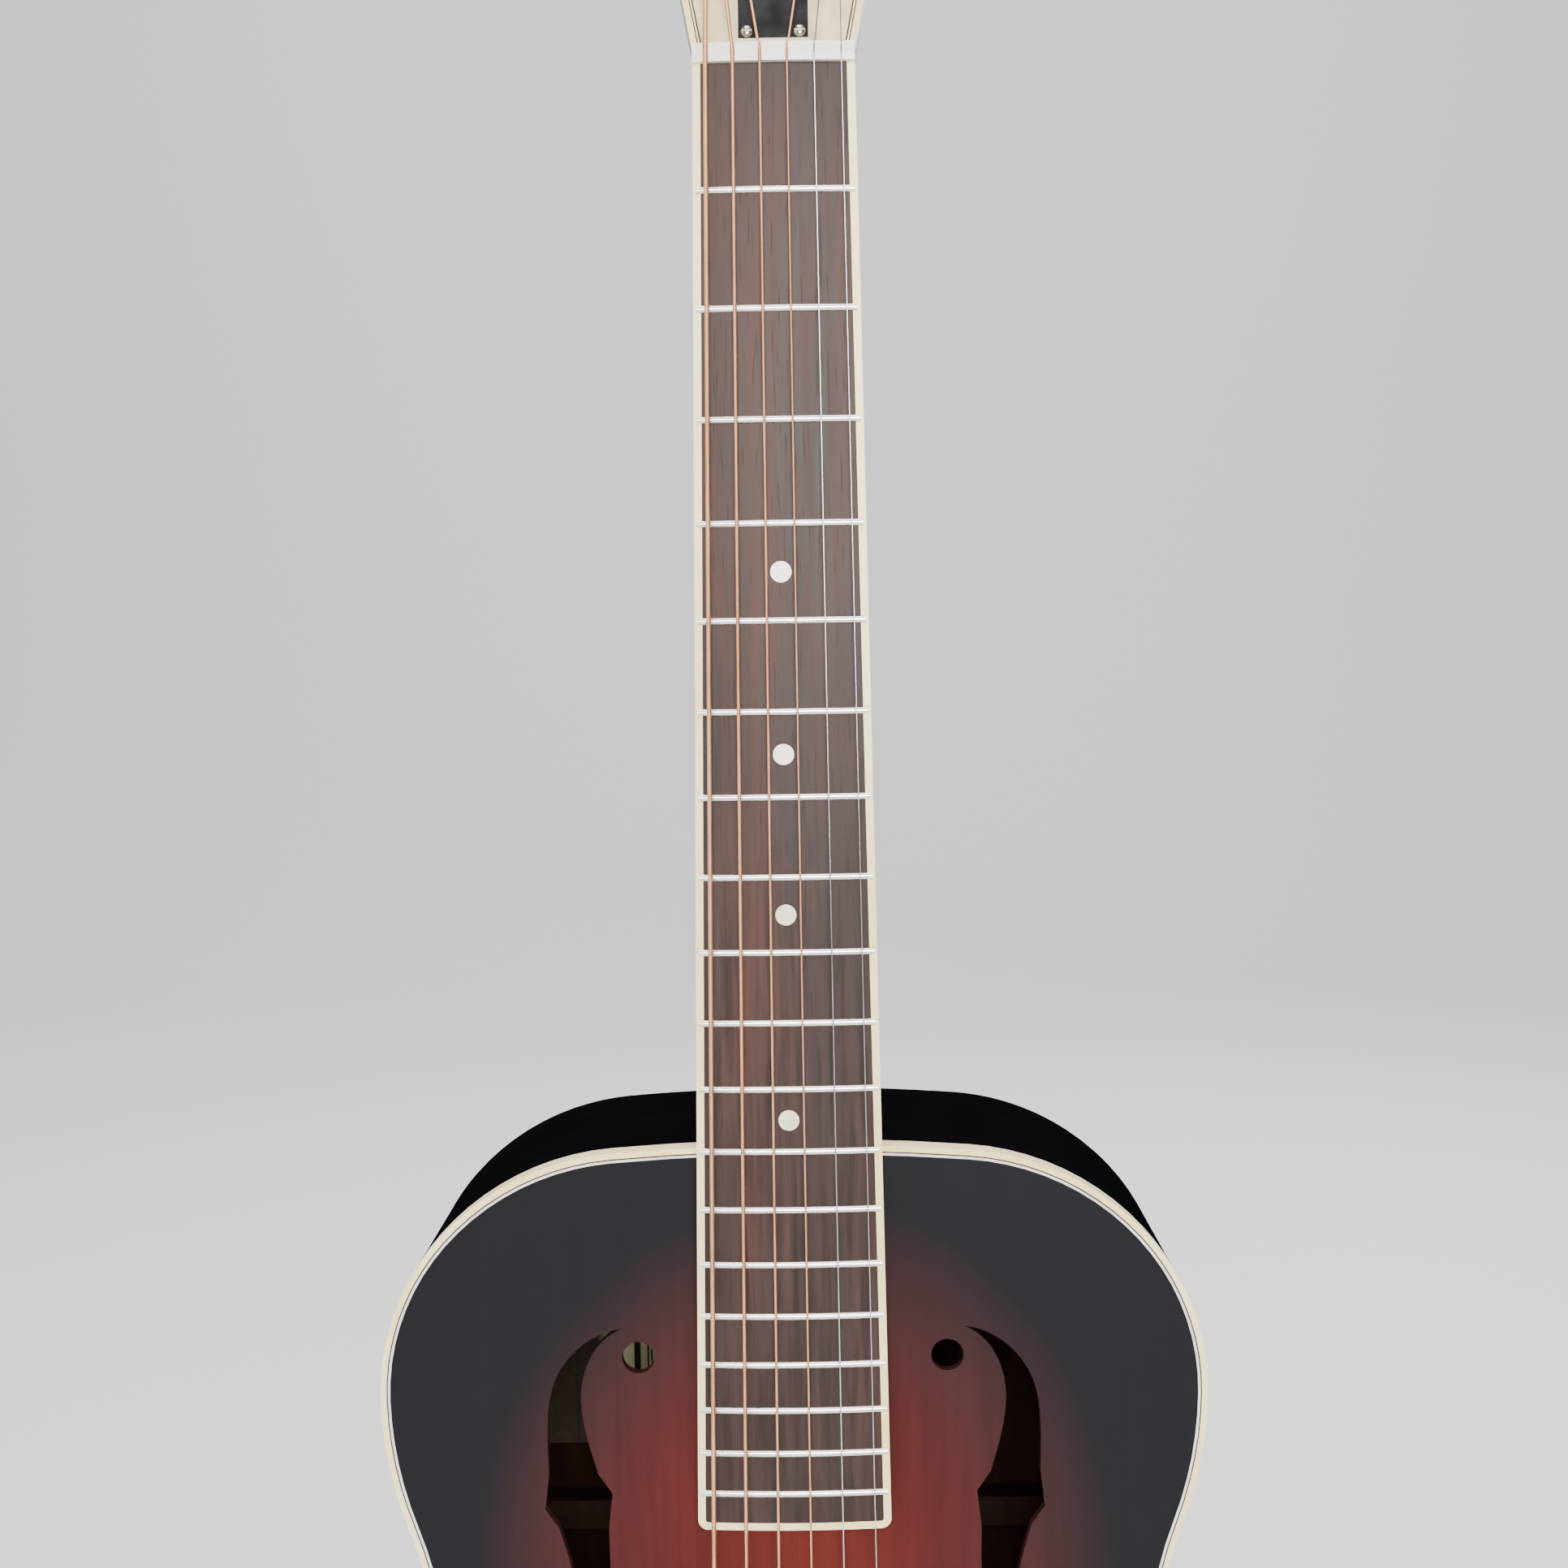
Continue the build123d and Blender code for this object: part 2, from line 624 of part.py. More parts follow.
def gear_outline():
    """Fifteen straight-flanked teeth, thinner than the gaps so that the mesh runs free."""
    pitch = MODULE * GEAR_TEETH / 2
    root = pitch - 1.0 * MODULE
    tip = pitch + 0.95 * MODULE
    points = []
    for tooth in range(GEAR_TEETH):
        middle = 2 * pi * tooth / GEAR_TEETH
        for radius, half in ((root, 0.105), (tip, 0.038), (tip, -0.038), (root, -0.105)):
            points.append((radius * cos(middle - half), radius * sin(middle - half)))
    return Polygon(*points, align=None)


def make_post():
    """String post with its gear and gear screw, in strip coordinates, at the first post."""
    reach = HEAD_THICK + 12.0
    profile = Polyline(
        (0, -reach), (2.2, -reach), (POST_RADIUS, -reach + 0.8),
        (POST_RADIUS, -HEAD_THICK - WRAP_LEVEL - 2.6), (WAIST_RADIUS, -HEAD_THICK - WRAP_LEVEL - 2.0),
        (WAIST_RADIUS, -HEAD_THICK - WRAP_LEVEL + 2.0), (POST_RADIUS, -HEAD_THICK - WRAP_LEVEL + 2.6),
        (POST_RADIUS, SHAFT_HEIGHT - GEAR_THICK / 2), (2.0, SHAFT_HEIGHT - GEAR_THICK / 2),
        (2.0, SHAFT_HEIGHT + GEAR_THICK / 2), (0, SHAFT_HEIGHT + GEAR_THICK / 2), close=True,
    )
    post = revolve(Plane.XZ * make_face(profile), Axis.Z)
    hole_z = -HEAD_THICK - WRAP_LEVEL + 1.2
    post -= rod((-5, 0, hole_z), (5, 0, hole_z), 0.75)
    gear = extrude(gear_outline() - Circle(2.0), amount=GEAR_THICK, dir=(0, 0, 1))
    gear = Pos(0, 0, SHAFT_HEIGHT - GEAR_THICK / 2) * Rot(0, 0, 180 / GEAR_TEETH) * gear
    screw = domed_screw(Plane.XY.offset(SHAFT_HEIGHT + GEAR_THICK / 2), 2.3, 1.2, 0.9, 0.4)
    return Compound((post + screw).solids() + gear.solids())


def make_worm(side):
    """Worm shaft with its thread and button, in strip coordinates, beside the middle post."""
    length = MODULE * pi * WORM_TURNS
    core = Cylinder(WORM_ROOT_RADIUS, 2 * LUG_PLACES[1] - 0.8)
    helix = Helix(pitch=MODULE * pi, height=length, radius=WORM_ROOT_RADIUS - 0.1)
    height = WORM_PITCH_RADIUS + 0.85 * MODULE - WORM_ROOT_RADIUS + 0.1
    tooth = Polygon((0, -0.62), (height, -0.30), (height, 0.30), (0, 0.62), align=None)
    start = Plane(origin=helix @ 0, x_dir=(1, 0, 0), z_dir=helix % 0)
    thread = sweep(start * tooth, path=helix, is_frenet=True)
    shaft = Pos(0, 0, 4.2) * Cylinder(SHAFT_RADIUS, 22.0)
    worm = core + Pos(0, 0, -length / 2) * thread + shaft
    button = extrude(Plane.XZ.offset(-3.5) * Ellipse(6.5, 8.0), amount=7.0)
    button = Pos(0, 0, 23.0) * fillet(button.edges(), 2.8) - shaft
    place = Plane(origin=(-WORM_OFFSET, 0, SHAFT_HEIGHT), x_dir=(1, 0, 0), z_dir=(0, side, 0))
    return place.location * Compound(worm.solids() + button.solids())


def strip_place(index):
    """Location of the machine of string 0 to 5 on its strip."""
    side = -1 if index < 3 else 1
    step = (index if index < 3 else 5 - index) - 1
    return strip_plane(side).location * Pos(step * POST_STEP, 0, 0)


def make_bushings():
    """Flanged eyelets that guide the posts at the headstock's face."""
    solids = []
    for x, v, _ in each_post():
        eyelet = on_head(Pos(x, v) * Circle(BUSHING_RADIUS), -9, OVERLAY)
        eyelet += on_head(Pos(x, v) * Circle(5.6), OVERLAY, OVERLAY + 0.8)
        eyelet -= on_head(Pos(x, v) * Circle(POST_RADIUS + RUNNING), -10, 5)
        solids += eyelet.solids()
    return Compound(solids)


# --- resonator ------------------------------------------------------------------------------
def turned(points):
    """Revolve a closed (radius, y) outline about the resonator's centre line."""
    plane = Plane(origin=(0, 0, -SCALE), x_dir=(1, 0, 0), z_dir=(0, 0, 1))
    return revolve(plane * make_face(Polyline(*points, close=True)), Axis((0, 0, -SCALE), (0, 1, 0)))


def make_cone():
    """Spun aluminium cone: a flat rim that sits on the ledge, a long flank and a flat top."""
    t = CONE_SHEET
    rim = CONE_RIM_Y
    foot = CONE_RIM_Y - 1.2
    crown = CONE_TOP_Y
    cone = turned((
        (CONE_RADIUS, rim), (CONE_RADIUS, rim - t), (112.5, rim - t), (108.0, foot - 2.5),
        (BISCUIT_RADIUS, crown), (0, crown), (0, crown + t), (BISCUIT_RADIUS, crown + t),
        (107.0, foot - 2.5 + t), (111.8, rim),
    ))
    return cone - rod((0, 0, -SCALE), (0, 40, -SCALE), 1.6)


def make_biscuit():
    disc = turned(((0, CONE_TOP_Y), (BISCUIT_RADIUS, CONE_TOP_Y),
                   (BISCUIT_RADIUS, CONE_TOP_Y - BISCUIT_THICK), (0, CONE_TOP_Y - BISCUIT_THICK)))
    disc -= saddle_blank()
    return disc - rod((0, 0, -SCALE), (0, 40, -SCALE), 1.6)


def saddle_blank():
    half = SADDLE_THICK / 2
    return block((-30, 30), (-5, CONE_TOP_Y - 3.5), (-SCALE - half, -SCALE + half))


def make_saddle():
    """Maple saddle, crowned like the fingerboard, standing in the biscuit's slot."""
    half = 30.0
    edge_y = SADDLE_TOP_Y + crown_drop(half)
    crown = ThreePointArc((-half, edge_y), (0, SADDLE_TOP_Y), (half, edge_y))
    foot = CONE_TOP_Y - 3.5
    sides = [Line((half, edge_y), (half, foot)), Line((half, foot), (-half, foot)),
             Line((-half, foot), (-half, edge_y))]
    thick = SADDLE_THICK / 2
    return along_neck(make_face(Wire([crown, *sides])), -SCALE - thick, -SCALE + thick)


def make_biscuit_screw():
    plane = Plane(origin=(0, CONE_TOP_Y + CONE_SHEET, -SCALE), x_dir=(1, 0, 0), z_dir=(0, 1, 0))
    return domed_screw(plane, 3.6, 2.2, 1.6, 3.6)


def cover_profile(lift):
    """Half section of the coverplate: rim, bead, cone and flat, `lift` over the soundboard."""
    return ((COVER_RADIUS, lift), (127.0, lift), (124.0, lift + 2.2), (70.0, lift + 6.2), (0, lift + 6.2))


def around_cone(step, count, radius):
    """Point (X, Z) on a circle about the resonator's centre."""
    angle = radians(360 * (step + 0.5) / count - 90)
    return radius * cos(angle), -SCALE + radius * sin(angle)


def make_coverplate():
    outside = [(r, BODY_FACE - h) for r, h in cover_profile(COVER_SHEET)]
    inside = [(r, BODY_FACE - h) for r, h in cover_profile(0.0)]
    plate = turned(outside + list(reversed(inside)))
    holes = []
    for count, inner, outer in COVER_SLOTS:
        slot = Pos((inner + outer) / 2, 0) * SlotOverall(outer - inner, COVER_SLOT_WIDTH)
        holes += [Rot(0, 0, 360 * (step + 0.5) / count) * slot for step in range(count)]
    holes.append(RectangleRounded(70, 26, 5))
    cutters = [slab(Pos(0, -SCALE) * hole, -8, 12) for hole in holes]
    for step in range(COVER_SCREWS_ROUND):
        x, z = around_cone(step, COVER_SCREWS_ROUND, COVER_SCREW_RADIUS)
        cutters.append(slab(Pos(x, z) * Circle(1.7), -8, 12))
    return plate - cutters


def make_coverplate_screws():
    screws = []
    for step in range(COVER_SCREWS_ROUND):
        x, z = around_cone(step, COVER_SCREWS_ROUND, COVER_SCREW_RADIUS)
        plane = Plane(origin=(x, BODY_FACE - COVER_SHEET, z), x_dir=(1, 0, 0), z_dir=(0, -1, 0))
        screws.append(domed_screw(plane, 3.0, 1.6, 1.6, 4.4))
    return Compound(screws)


def hat(grow, corner):
    """Section of the palm rest's arch, in (X, Y), enlarged by the sheet's thickness."""
    top = REST_TOP_Y - grow
    half = REST_HALF + grow
    shape = Polygon((-half - 2, FLAT_Y), (half + 2, FLAT_Y), (half - 4, top), (-half + 4, top), align=None)
    return fillet(shape.vertices().sort_by(Axis.Y)[:2], corner)


def make_palm_rest():
    """Sheet bridge over the saddle, with a foot at each side."""
    along = (-SCALE - REST_LONG / 2, -SCALE + REST_LONG / 2)
    bridge = along_neck(hat(REST_SHEET, 6.3) - hat(0, 5.0), *along)
    for side in (-1, 1):
        across = sorted((side * (REST_HALF + 0.8), side * REST_FOOT))
        bridge += block(across, (FLAT_Y - REST_SHEET, FLAT_Y), along)
    return bridge - [slab(Pos(x, z) * Circle(1.6), -20, 12) for x, z in rest_screws()]


def rest_screws():
    return [(side * (REST_FOOT - 5.0), -SCALE + end) for side in (-1, 1) for end in (-9.0, 9.0)]


def make_rest_screws():
    screws = []
    for x, z in rest_screws():
        plane = Plane(origin=(x, FLAT_Y - REST_SHEET, z), x_dir=(1, 0, 0), z_dir=(0, -1, 0))
        screws.append(domed_screw(plane, 2.6, 1.4, 1.3, 1.3))
    return Compound(screws)


# --- tailpiece ------------------------------------------------------------------------------
def make_tail_bracket():
    """Plate screwed to the tail, with two hinge knuckles at its upper edge."""
    face_z = -TAIL
    plate = block((-12, 12), (HINGE_Y, 62), (HINGE_Z - KNUCKLE_RADIUS, face_z - 0.05))
    for low, high in ((-12, -6.1), (6.1, 12)):
        plate += rod((low, HINGE_Y, HINGE_Z), (high, HINGE_Y, HINGE_Z), KNUCKLE_RADIUS)
    plate -= block((-6.1, 6.1), (HINGE_Y - 4, HINGE_Y + 3.2), (HINGE_Z - 4, HINGE_Z + 4))
    plate -= rod((-20, HINGE_Y, HINGE_Z), (20, HINGE_Y, HINGE_Z), HINGE_PIN_RADIUS)
    for x, y in BRACKET_SCREWS:
        plate -= rod((x, y, face_z - 5), (x, y, face_z + 5), 1.7)
    return plate - rod((0, 50, face_z - 5), (0, 50, face_z + 5), 3.0)


def make_bracket_screws():
    screws = []
    for x, y in BRACKET_SCREWS:
        plane = Plane(origin=(x, y, HINGE_Z - KNUCKLE_RADIUS), x_dir=(1, 0, 0), z_dir=(0, 0, -1))
        screws.append(domed_screw(plane, 3.1, 1.6, 1.6, 14))
    return Compound(screws)


def make_hinge_pin():
    pin = rod((-12.6, HINGE_Y, HINGE_Z), (12.6, HINGE_Y, HINGE_Z), HINGE_PIN_RADIUS)
    for side in (-1, 1):
        pin += rod((side * 12.05, HINGE_Y, HINGE_Z), (side * 13.0, HINGE_Y, HINGE_Z), 2.1)
    return pin


def string_at(index, z):
    """Centre of a string between the tailpiece and the saddle."""
    start = ball_point(index)
    end = saddle_point(index)
    share = (z - start.Z) / (end.Z - start.Z)
    return start + (end - start) * share


def make_tailpiece():
    """Trapeze: a knuckle on the hinge pin, two arms and a slotted bar that holds the strings."""
    low, high = BAR_Z
    frame = Polygon((-5.7, HINGE_Z + 0.5), (5.7, HINGE_Z + 0.5), (5.7, HINGE_Z + 4), (12, HINGE_Z + 6),
                    (34.5, low - 1), (34.5, low + 2), (-34.5, low + 2), (-34.5, low - 1),
                    (-12, HINGE_Z + 6), (-5.7, HINGE_Z + 4), align=None)
    window = Polygon((-5, HINGE_Z + 14), (5, HINGE_Z + 14), (28.6, low - 1), (28.6, low),
                     (-28.6, low), (-28.6, low - 1), align=None)
    plate = slab(frame, 2.2, 3.8) - slab(window, 1, 5)
    plate += rod((-5.7, HINGE_Y, HINGE_Z), (5.7, HINGE_Y, HINGE_Z), KNUCKLE_RADIUS)
    bar = block((-34.5, 34.5), BAR_Y, BAR_Z)
    bar = fillet(bar.edges().filter_by(Axis.X), 0.8)
    plate += bar
    plate -= rod((-20, HINGE_Y, HINGE_Z), (20, HINGE_Y, HINGE_Z), HINGE_PIN_RADIUS + RUNNING)
    for index in range(6):
        middle = string_at(index, (low + high) / 2)
        half = string_radius(index) + 0.35
        plate -= block((middle.X - half, middle.X + half), (middle.Y - half - 0.2, 6), (low - 0.1, high + 1))
    return plate


def make_end_pin():
    """Turned strap button in the tail block, its flared end outside."""
    z = HINGE_Z - KNUCKLE_RADIUS
    outline = Polyline(
        (0, 25), (2.9, 25), (2.9, -0.0), (6.5, 0), (6.0, -2.0), (4.4, -4.5), (4.6, -7.5), (6.8, -9.5),
        (6.8, -11.0), (4.0, -12.5), (0, -13.0), close=True,
    )
    plane = Plane(origin=(0, 50, z), x_dir=(1, 0, 0), z_dir=(0, -1, 0))
    return revolve(plane * make_face(outline), Axis((0, 50, z), (0, 0, 1)))


# --- strings --------------------------------------------------------------------------------
def ball_point(index):
    return Vector(spread_x(index, BALL_SPREAD), BALL_Y, BAR_Z[0] - 2.5)


def saddle_point(index):
    x = spread_x(index, SADDLE_SPREAD)
    return Vector(x, SADDLE_TOP_Y + crown_drop(x) - string_radius(index) - 0.05, -SCALE)


def wrap_circle(index):
    """Centre of a string's winding on its post, and the winding's radius."""
    x, v, side = list(each_post())[index]
    centre = HEAD.from_local_coords(Vector(x, v, WRAP_LEVEL))
    return centre, WAIST_RADIUS + string_radius(index) + 0.06, side


def make_string(index):
    """Ball end, straight runs over saddle and nut, and one turn round the post."""
    r = string_radius(index)
    nut = nut_point(index)
    centre, radius, side = wrap_circle(index)
    to_post = centre - nut
    distance = to_post.length
    swing = asin(radius / distance)
    normal = HEAD.z_dir
    normal = (normal - to_post.normalized() * normal.dot(to_post.normalized())).normalized()
    way = to_post.normalized().rotate(Axis((0, 0, 0), normal), degrees(swing) * side)
    touch = nut + way * sqrt(distance * distance - radius * radius)
    start = ball_point(index) + (saddle_point(index) - ball_point(index)).normalized() * 1.0
    route = FilletPolyline(start, saddle_point(index), nut, touch, radius=(8.0, 6.0))
    turn = arc_about(centre, touch, way, normal, WRAP_ANGLE)
    path = Wire(route.edges() + [turn])
    section = Plane(origin=start, z_dir=path % 0) * Circle(r)
    cord = sweep(section, path=path, transition=Transition.ROUND)
    ball = ball_point(index)
    barrel = rod((ball.X - 1.7, ball.Y, ball.Z), (ball.X + 1.7, ball.Y, ball.Z), 2.0)
    return cord + barrel, path.length


def arc_about(centre, start, way, normal, size):
    """Arc about a centre, starting along `way`, in the plane with the given normal."""
    arm = start - centre
    direction = 1 if normal.cross(arm).dot(way) > 0 else -1
    middle = centre + arm.rotate(Axis((0, 0, 0), normal), direction * size / 2)
    end = centre + arm.rotate(Axis((0, 0, 0), normal), direction * size)
    return ThreePointArc(start, middle, end)


# --- output ---------------------------------------------------------------------------------
def build_parts():
    parts = {}
    parts["soundboard"] = make_soundboard()
    parts["back"] = make_back()
    parts["side_left"], parts["side_right"] = make_sides()
    parts["neck_block"] = make_neck_block()
    parts["tail_block"] = make_tail_block()
    gap_neck = block((-34, 34), (0, 110), (-BODY_JOIN - 34, -BODY_JOIN + 5))
    gap_tail = block((-38, 38), (0, 110), (-TAIL - 5, -TAIL + 20))
    parts["linings"] = make_linings(gap_neck, gap_tail)
    parts["braces"] = make_braces()
    parts["soundwell"] = make_soundwell()
    parts["cone_ledge"] = make_ledge()
    parts["label"] = make_label()
    parts["body_binding"] = make_body_binding()
    parts["body_purfling"] = make_purfling()
    parts["neck"] = make_neck()
    parts["truss_rod"] = make_truss_rod()
    parts["truss_rod_nut"] = make_truss_nut()
    parts["fingerboard"] = make_fingerboard()
    parts["fingerboard_binding"] = make_fingerboard_binding()
    parts["frets"] = Compound([make_fret(n) for n in range(1, FRETS + 1)])
    parts["position_dots"] = Compound([dot_disc(n) for n in DOT_FRETS])
    parts["nut"] = make_nut()
    parts["headstock_overlay"] = make_overlay()
    parts["headstock_binding"] = make_head_binding()
    parts["truss_rod_cover"] = make_truss_cover()
    parts["truss_cover_screws"] = make_cover_screws()
    parts["resonator_cone"] = make_cone()
    parts["biscuit"] = make_biscuit()
    parts["saddle"] = make_saddle()
    parts["biscuit_screw"] = make_biscuit_screw()
    parts["coverplate"] = make_coverplate()
    parts["coverplate_screws"] = make_coverplate_screws()
    parts["palm_rest"] = make_palm_rest()
    parts["palm_rest_screws"] = make_rest_screws()
    parts["tailpiece_bracket"] = make_tail_bracket()
    parts["tailpiece_bracket_screws"] = make_bracket_screws()
    parts["tailpiece_hinge_pin"] = make_hinge_pin()
    parts["tailpiece"] = make_tailpiece()
    parts["end_pin"] = make_end_pin()
    parts["tuner_strip_left"] = make_strip(-1)
    parts["tuner_strip_right"] = make_strip(1)
    parts["tuner_strip_screws"] = make_strip_screws()
    parts["tuner_bushings"] = make_bushings()
    post = make_post()
    for index in range(6):
        number = 6 - index
        side = -1 if index < 3 else 1
        parts[f"tuner_post_{number}"] = strip_place(index) * post
        parts[f"tuner_shaft_{number}"] = strip_place(index) * make_worm(side)
        parts[f"string_{number}"], length = make_string(index)
        print(f"string {number} is {length:.1f} mm long")
    return parts


def main():
    os.makedirs("parts", exist_ok=True)
    for name, shape in build_parts().items():
        export_step(shape, f"parts/{name}.step")
        print(name, round(shape.volume, 1))


main()
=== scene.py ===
# %% [markdown]
# # A resonator guitar, dressed in Blender
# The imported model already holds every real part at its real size: body, neck, frets, cone,
# coverplate, tuners and strings. This lesson gives each of them its finish, adds the small
# things that are easier to shape in Blender, and sets up a camera and soft light.
# Everything is in metres. +X is the treble side, +Z runs up the neck and the face looks to -Y.
# The origin is on the fingerboard at the nut's edge, so heights on the body are negative.

# %% Load the frame
import bpy
import bmesh
import json
import math
from mathutils import Matrix, Vector


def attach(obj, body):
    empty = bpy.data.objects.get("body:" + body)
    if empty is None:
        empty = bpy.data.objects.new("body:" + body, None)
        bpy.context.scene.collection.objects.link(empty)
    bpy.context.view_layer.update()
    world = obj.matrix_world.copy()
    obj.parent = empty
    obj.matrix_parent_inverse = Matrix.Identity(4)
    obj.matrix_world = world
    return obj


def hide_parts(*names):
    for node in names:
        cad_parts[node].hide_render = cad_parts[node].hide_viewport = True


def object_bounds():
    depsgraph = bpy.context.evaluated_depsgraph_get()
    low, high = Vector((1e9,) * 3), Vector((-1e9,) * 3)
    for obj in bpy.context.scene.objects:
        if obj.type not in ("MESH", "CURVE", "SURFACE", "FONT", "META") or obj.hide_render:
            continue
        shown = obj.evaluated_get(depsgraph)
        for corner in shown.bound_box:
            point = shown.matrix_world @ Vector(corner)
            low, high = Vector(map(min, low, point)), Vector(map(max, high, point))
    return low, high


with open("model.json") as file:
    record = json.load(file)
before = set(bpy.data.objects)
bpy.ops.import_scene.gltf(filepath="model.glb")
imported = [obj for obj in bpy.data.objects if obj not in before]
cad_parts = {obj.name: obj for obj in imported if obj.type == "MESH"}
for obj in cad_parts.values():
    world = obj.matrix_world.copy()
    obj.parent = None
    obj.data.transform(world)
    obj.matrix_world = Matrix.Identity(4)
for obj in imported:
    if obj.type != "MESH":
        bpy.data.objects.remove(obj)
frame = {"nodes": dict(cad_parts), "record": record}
CAD_LOW, CAD_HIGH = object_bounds()
MM = 0.001
print("nodes", len(frame["nodes"]), "box", tuple(CAD_LOW), tuple(CAD_HIGH))

# %% [markdown]
# ## Camera
# The camera stands in front of the neck's upper half, turned down a little, so it sees the
# fingerboard, the upper bout and the f-holes. A camera looks along its own -Z, so its three
# axes in the guitar's frame are all that it needs.

# %% Camera
def camera_at(place, right, up, back, lens):
    data = bpy.data.cameras.new("camera")
    data.sensor_width = 36.0
    data.lens = lens
    data.clip_start = 0.01
    data.clip_end = 60.0
    camera = bpy.data.objects.new("camera", data)
    turn = Matrix((right, up, back)).transposed()
    camera.matrix_world = Matrix.Translation(place) @ turn.to_4x4()
    bpy.context.collection.objects.link(camera)
    bpy.context.scene.camera = camera


camera_at(
    place=Vector((0.007812, -0.602055, -0.157811)),
    right=Vector((0.999824, 0.011750, -0.014645)),
    up=Vector((0.013632, 0.082103, 0.996531)),
    back=Vector((0.012911, -0.996555, 0.081929)),
    lens=47.127,
)
print("camera ready")

# %% [markdown]
# ## Floor
# A paper sweep, flat under the guitar and curving up behind it, gives a pale ground with no
# horizon. A plane and a wall would meet in a line behind the neck, so the floor's far end is
# bent up in an arc instead.

# %% Paper sweep
FLOOR_GAP = 0.003
SWEEP_FRONT = -7.0
SWEEP_BEND = 3.0
SWEEP_RADIUS = 1.5
SWEEP_RISE = 4.0
SWEEP_WIDTH = 18.0


def paper_sweep(lowest):
    """Floor strip swept into a wall: one edge is spun up a quarter turn, then extruded."""
    bm = bmesh.new()
    front = bm.verts.new((0.0, SWEEP_FRONT, lowest))
    rear = bm.verts.new((0.0, SWEEP_BEND, lowest))
    bm.edges.new((front, rear))
    spun = bmesh.ops.spin(bm, geom=[rear], cent=(0.0, SWEEP_BEND, lowest + SWEEP_RADIUS),
                          axis=(1, 0, 0), angle=math.radians(90), steps=16)
    top = [v for v in spun["geom_last"] if isinstance(v, bmesh.types.BMVert)]
    rise = bmesh.ops.extrude_vert_indiv(bm, verts=top)
    bmesh.ops.translate(bm, verts=rise["verts"], vec=(0, 0, SWEEP_RISE))
    bmesh.ops.translate(bm, verts=bm.verts[:], vec=(-SWEEP_WIDTH / 2, 0, 0))
    wide = bmesh.ops.extrude_edge_only(bm, edges=bm.edges[:])
    moved = [v for v in wide["geom"] if isinstance(v, bmesh.types.BMVert)]
    bmesh.ops.translate(bm, verts=moved, vec=(SWEEP_WIDTH, 0, 0))
    bmesh.ops.recalc_face_normals(bm, faces=bm.faces[:])
    mesh = bpy.data.meshes.new("paper_sweep")
    bm.to_mesh(mesh)
    bm.free()
    mesh.shade_smooth()
    sweep = bpy.data.objects.new("paper_sweep", mesh)
    bpy.context.collection.objects.link(sweep)
    return sweep


sweep = paper_sweep(CAD_LOW.z - FLOOR_GAP)
paper_white = bpy.data.materials.new("paper_sweep")
paper_white.use_nodes = True
paper_skin = paper_white.node_tree.nodes["Principled BSDF"]
paper_skin.inputs["Base Color"].default_value = (0.90, 0.90, 0.89, 1)
paper_skin.inputs["Roughness"].default_value = 0.9
sweep.data.materials.append(paper_white)
print("sweep faces", len(sweep.data.polygons))

# %% [markdown]
# ## Soft light
# Lacquer and plate show a lamp as a mirror would, so a studio uses large soft ones, whose
# highlights have no hard edge. Each is a disk here: one above the camera for the fingerboard,
# one from the left for the binding and the metal, one overhead for the shoulders, one behind
# for the rim and one for the wall. A pale world fills the shadows.

# %% Lamps and world
def soft_lamp(name, place, aim, size, watts, colour=(1, 1, 1)):
    data = bpy.data.lights.new(name, "AREA")
    data.shape = "DISK"
    data.size = size
    data.energy = watts
    data.color = colour
    lamp = bpy.data.objects.new(name, data)
    lamp.location = place
    lamp.rotation_mode = "QUATERNION"
    lamp.rotation_quaternion = (Vector(aim) - Vector(place)).to_track_quat("-Z", "Y")
    bpy.context.collection.objects.link(lamp)


soft_lamp("key_lamp", (0.10, -1.30, 0.05), (0, 0, -0.25), 0.8, 34.0, (1.0, 0.97, 0.93))
soft_lamp("side_lamp", (-1.50, -0.90, 0.30), (0, 0, -0.45), 1.0, 14.0)
soft_lamp("top_lamp", (0.0, -0.7, 1.6), (0, 0, -0.4), 1.0, 14.0)
soft_lamp("back_lamp", (0.9, 1.8, 0.9), (0, 0.05, -0.4), 1.2, 22.0)
soft_lamp("wall_lamp", (0.0, 0.6, 3.2), (0, 3.6, 0.2), 2.5, 135.0)
world = bpy.data.worlds.new("studio")
world.use_nodes = True
sky = world.node_tree.nodes["Background"]
sky.inputs["Color"].default_value = (0.86, 0.87, 0.9, 1)
sky.inputs["Strength"].default_value = 0.5
bpy.context.scene.world = world

# %% [markdown]
# ## Small helpers for finishes
# Each finish is a Principled shader fed by a few texture nodes. Positions come from Object
# coordinates: every part sits at the origin with its place in its mesh, so one millimetre in
# the pattern is one millimetre on the guitar. `tint` turns the usual 0-255 colour numbers
# into the linear ones that Blender's sockets hold.

# %% Node helpers
def tint(red, green, blue):
    def linear(value):
        value /= 255.0
        return value / 12.92 if value <= 0.04045 else ((value + 0.055) / 1.055) ** 2.4
    return (linear(red), linear(green), linear(blue), 1.0)


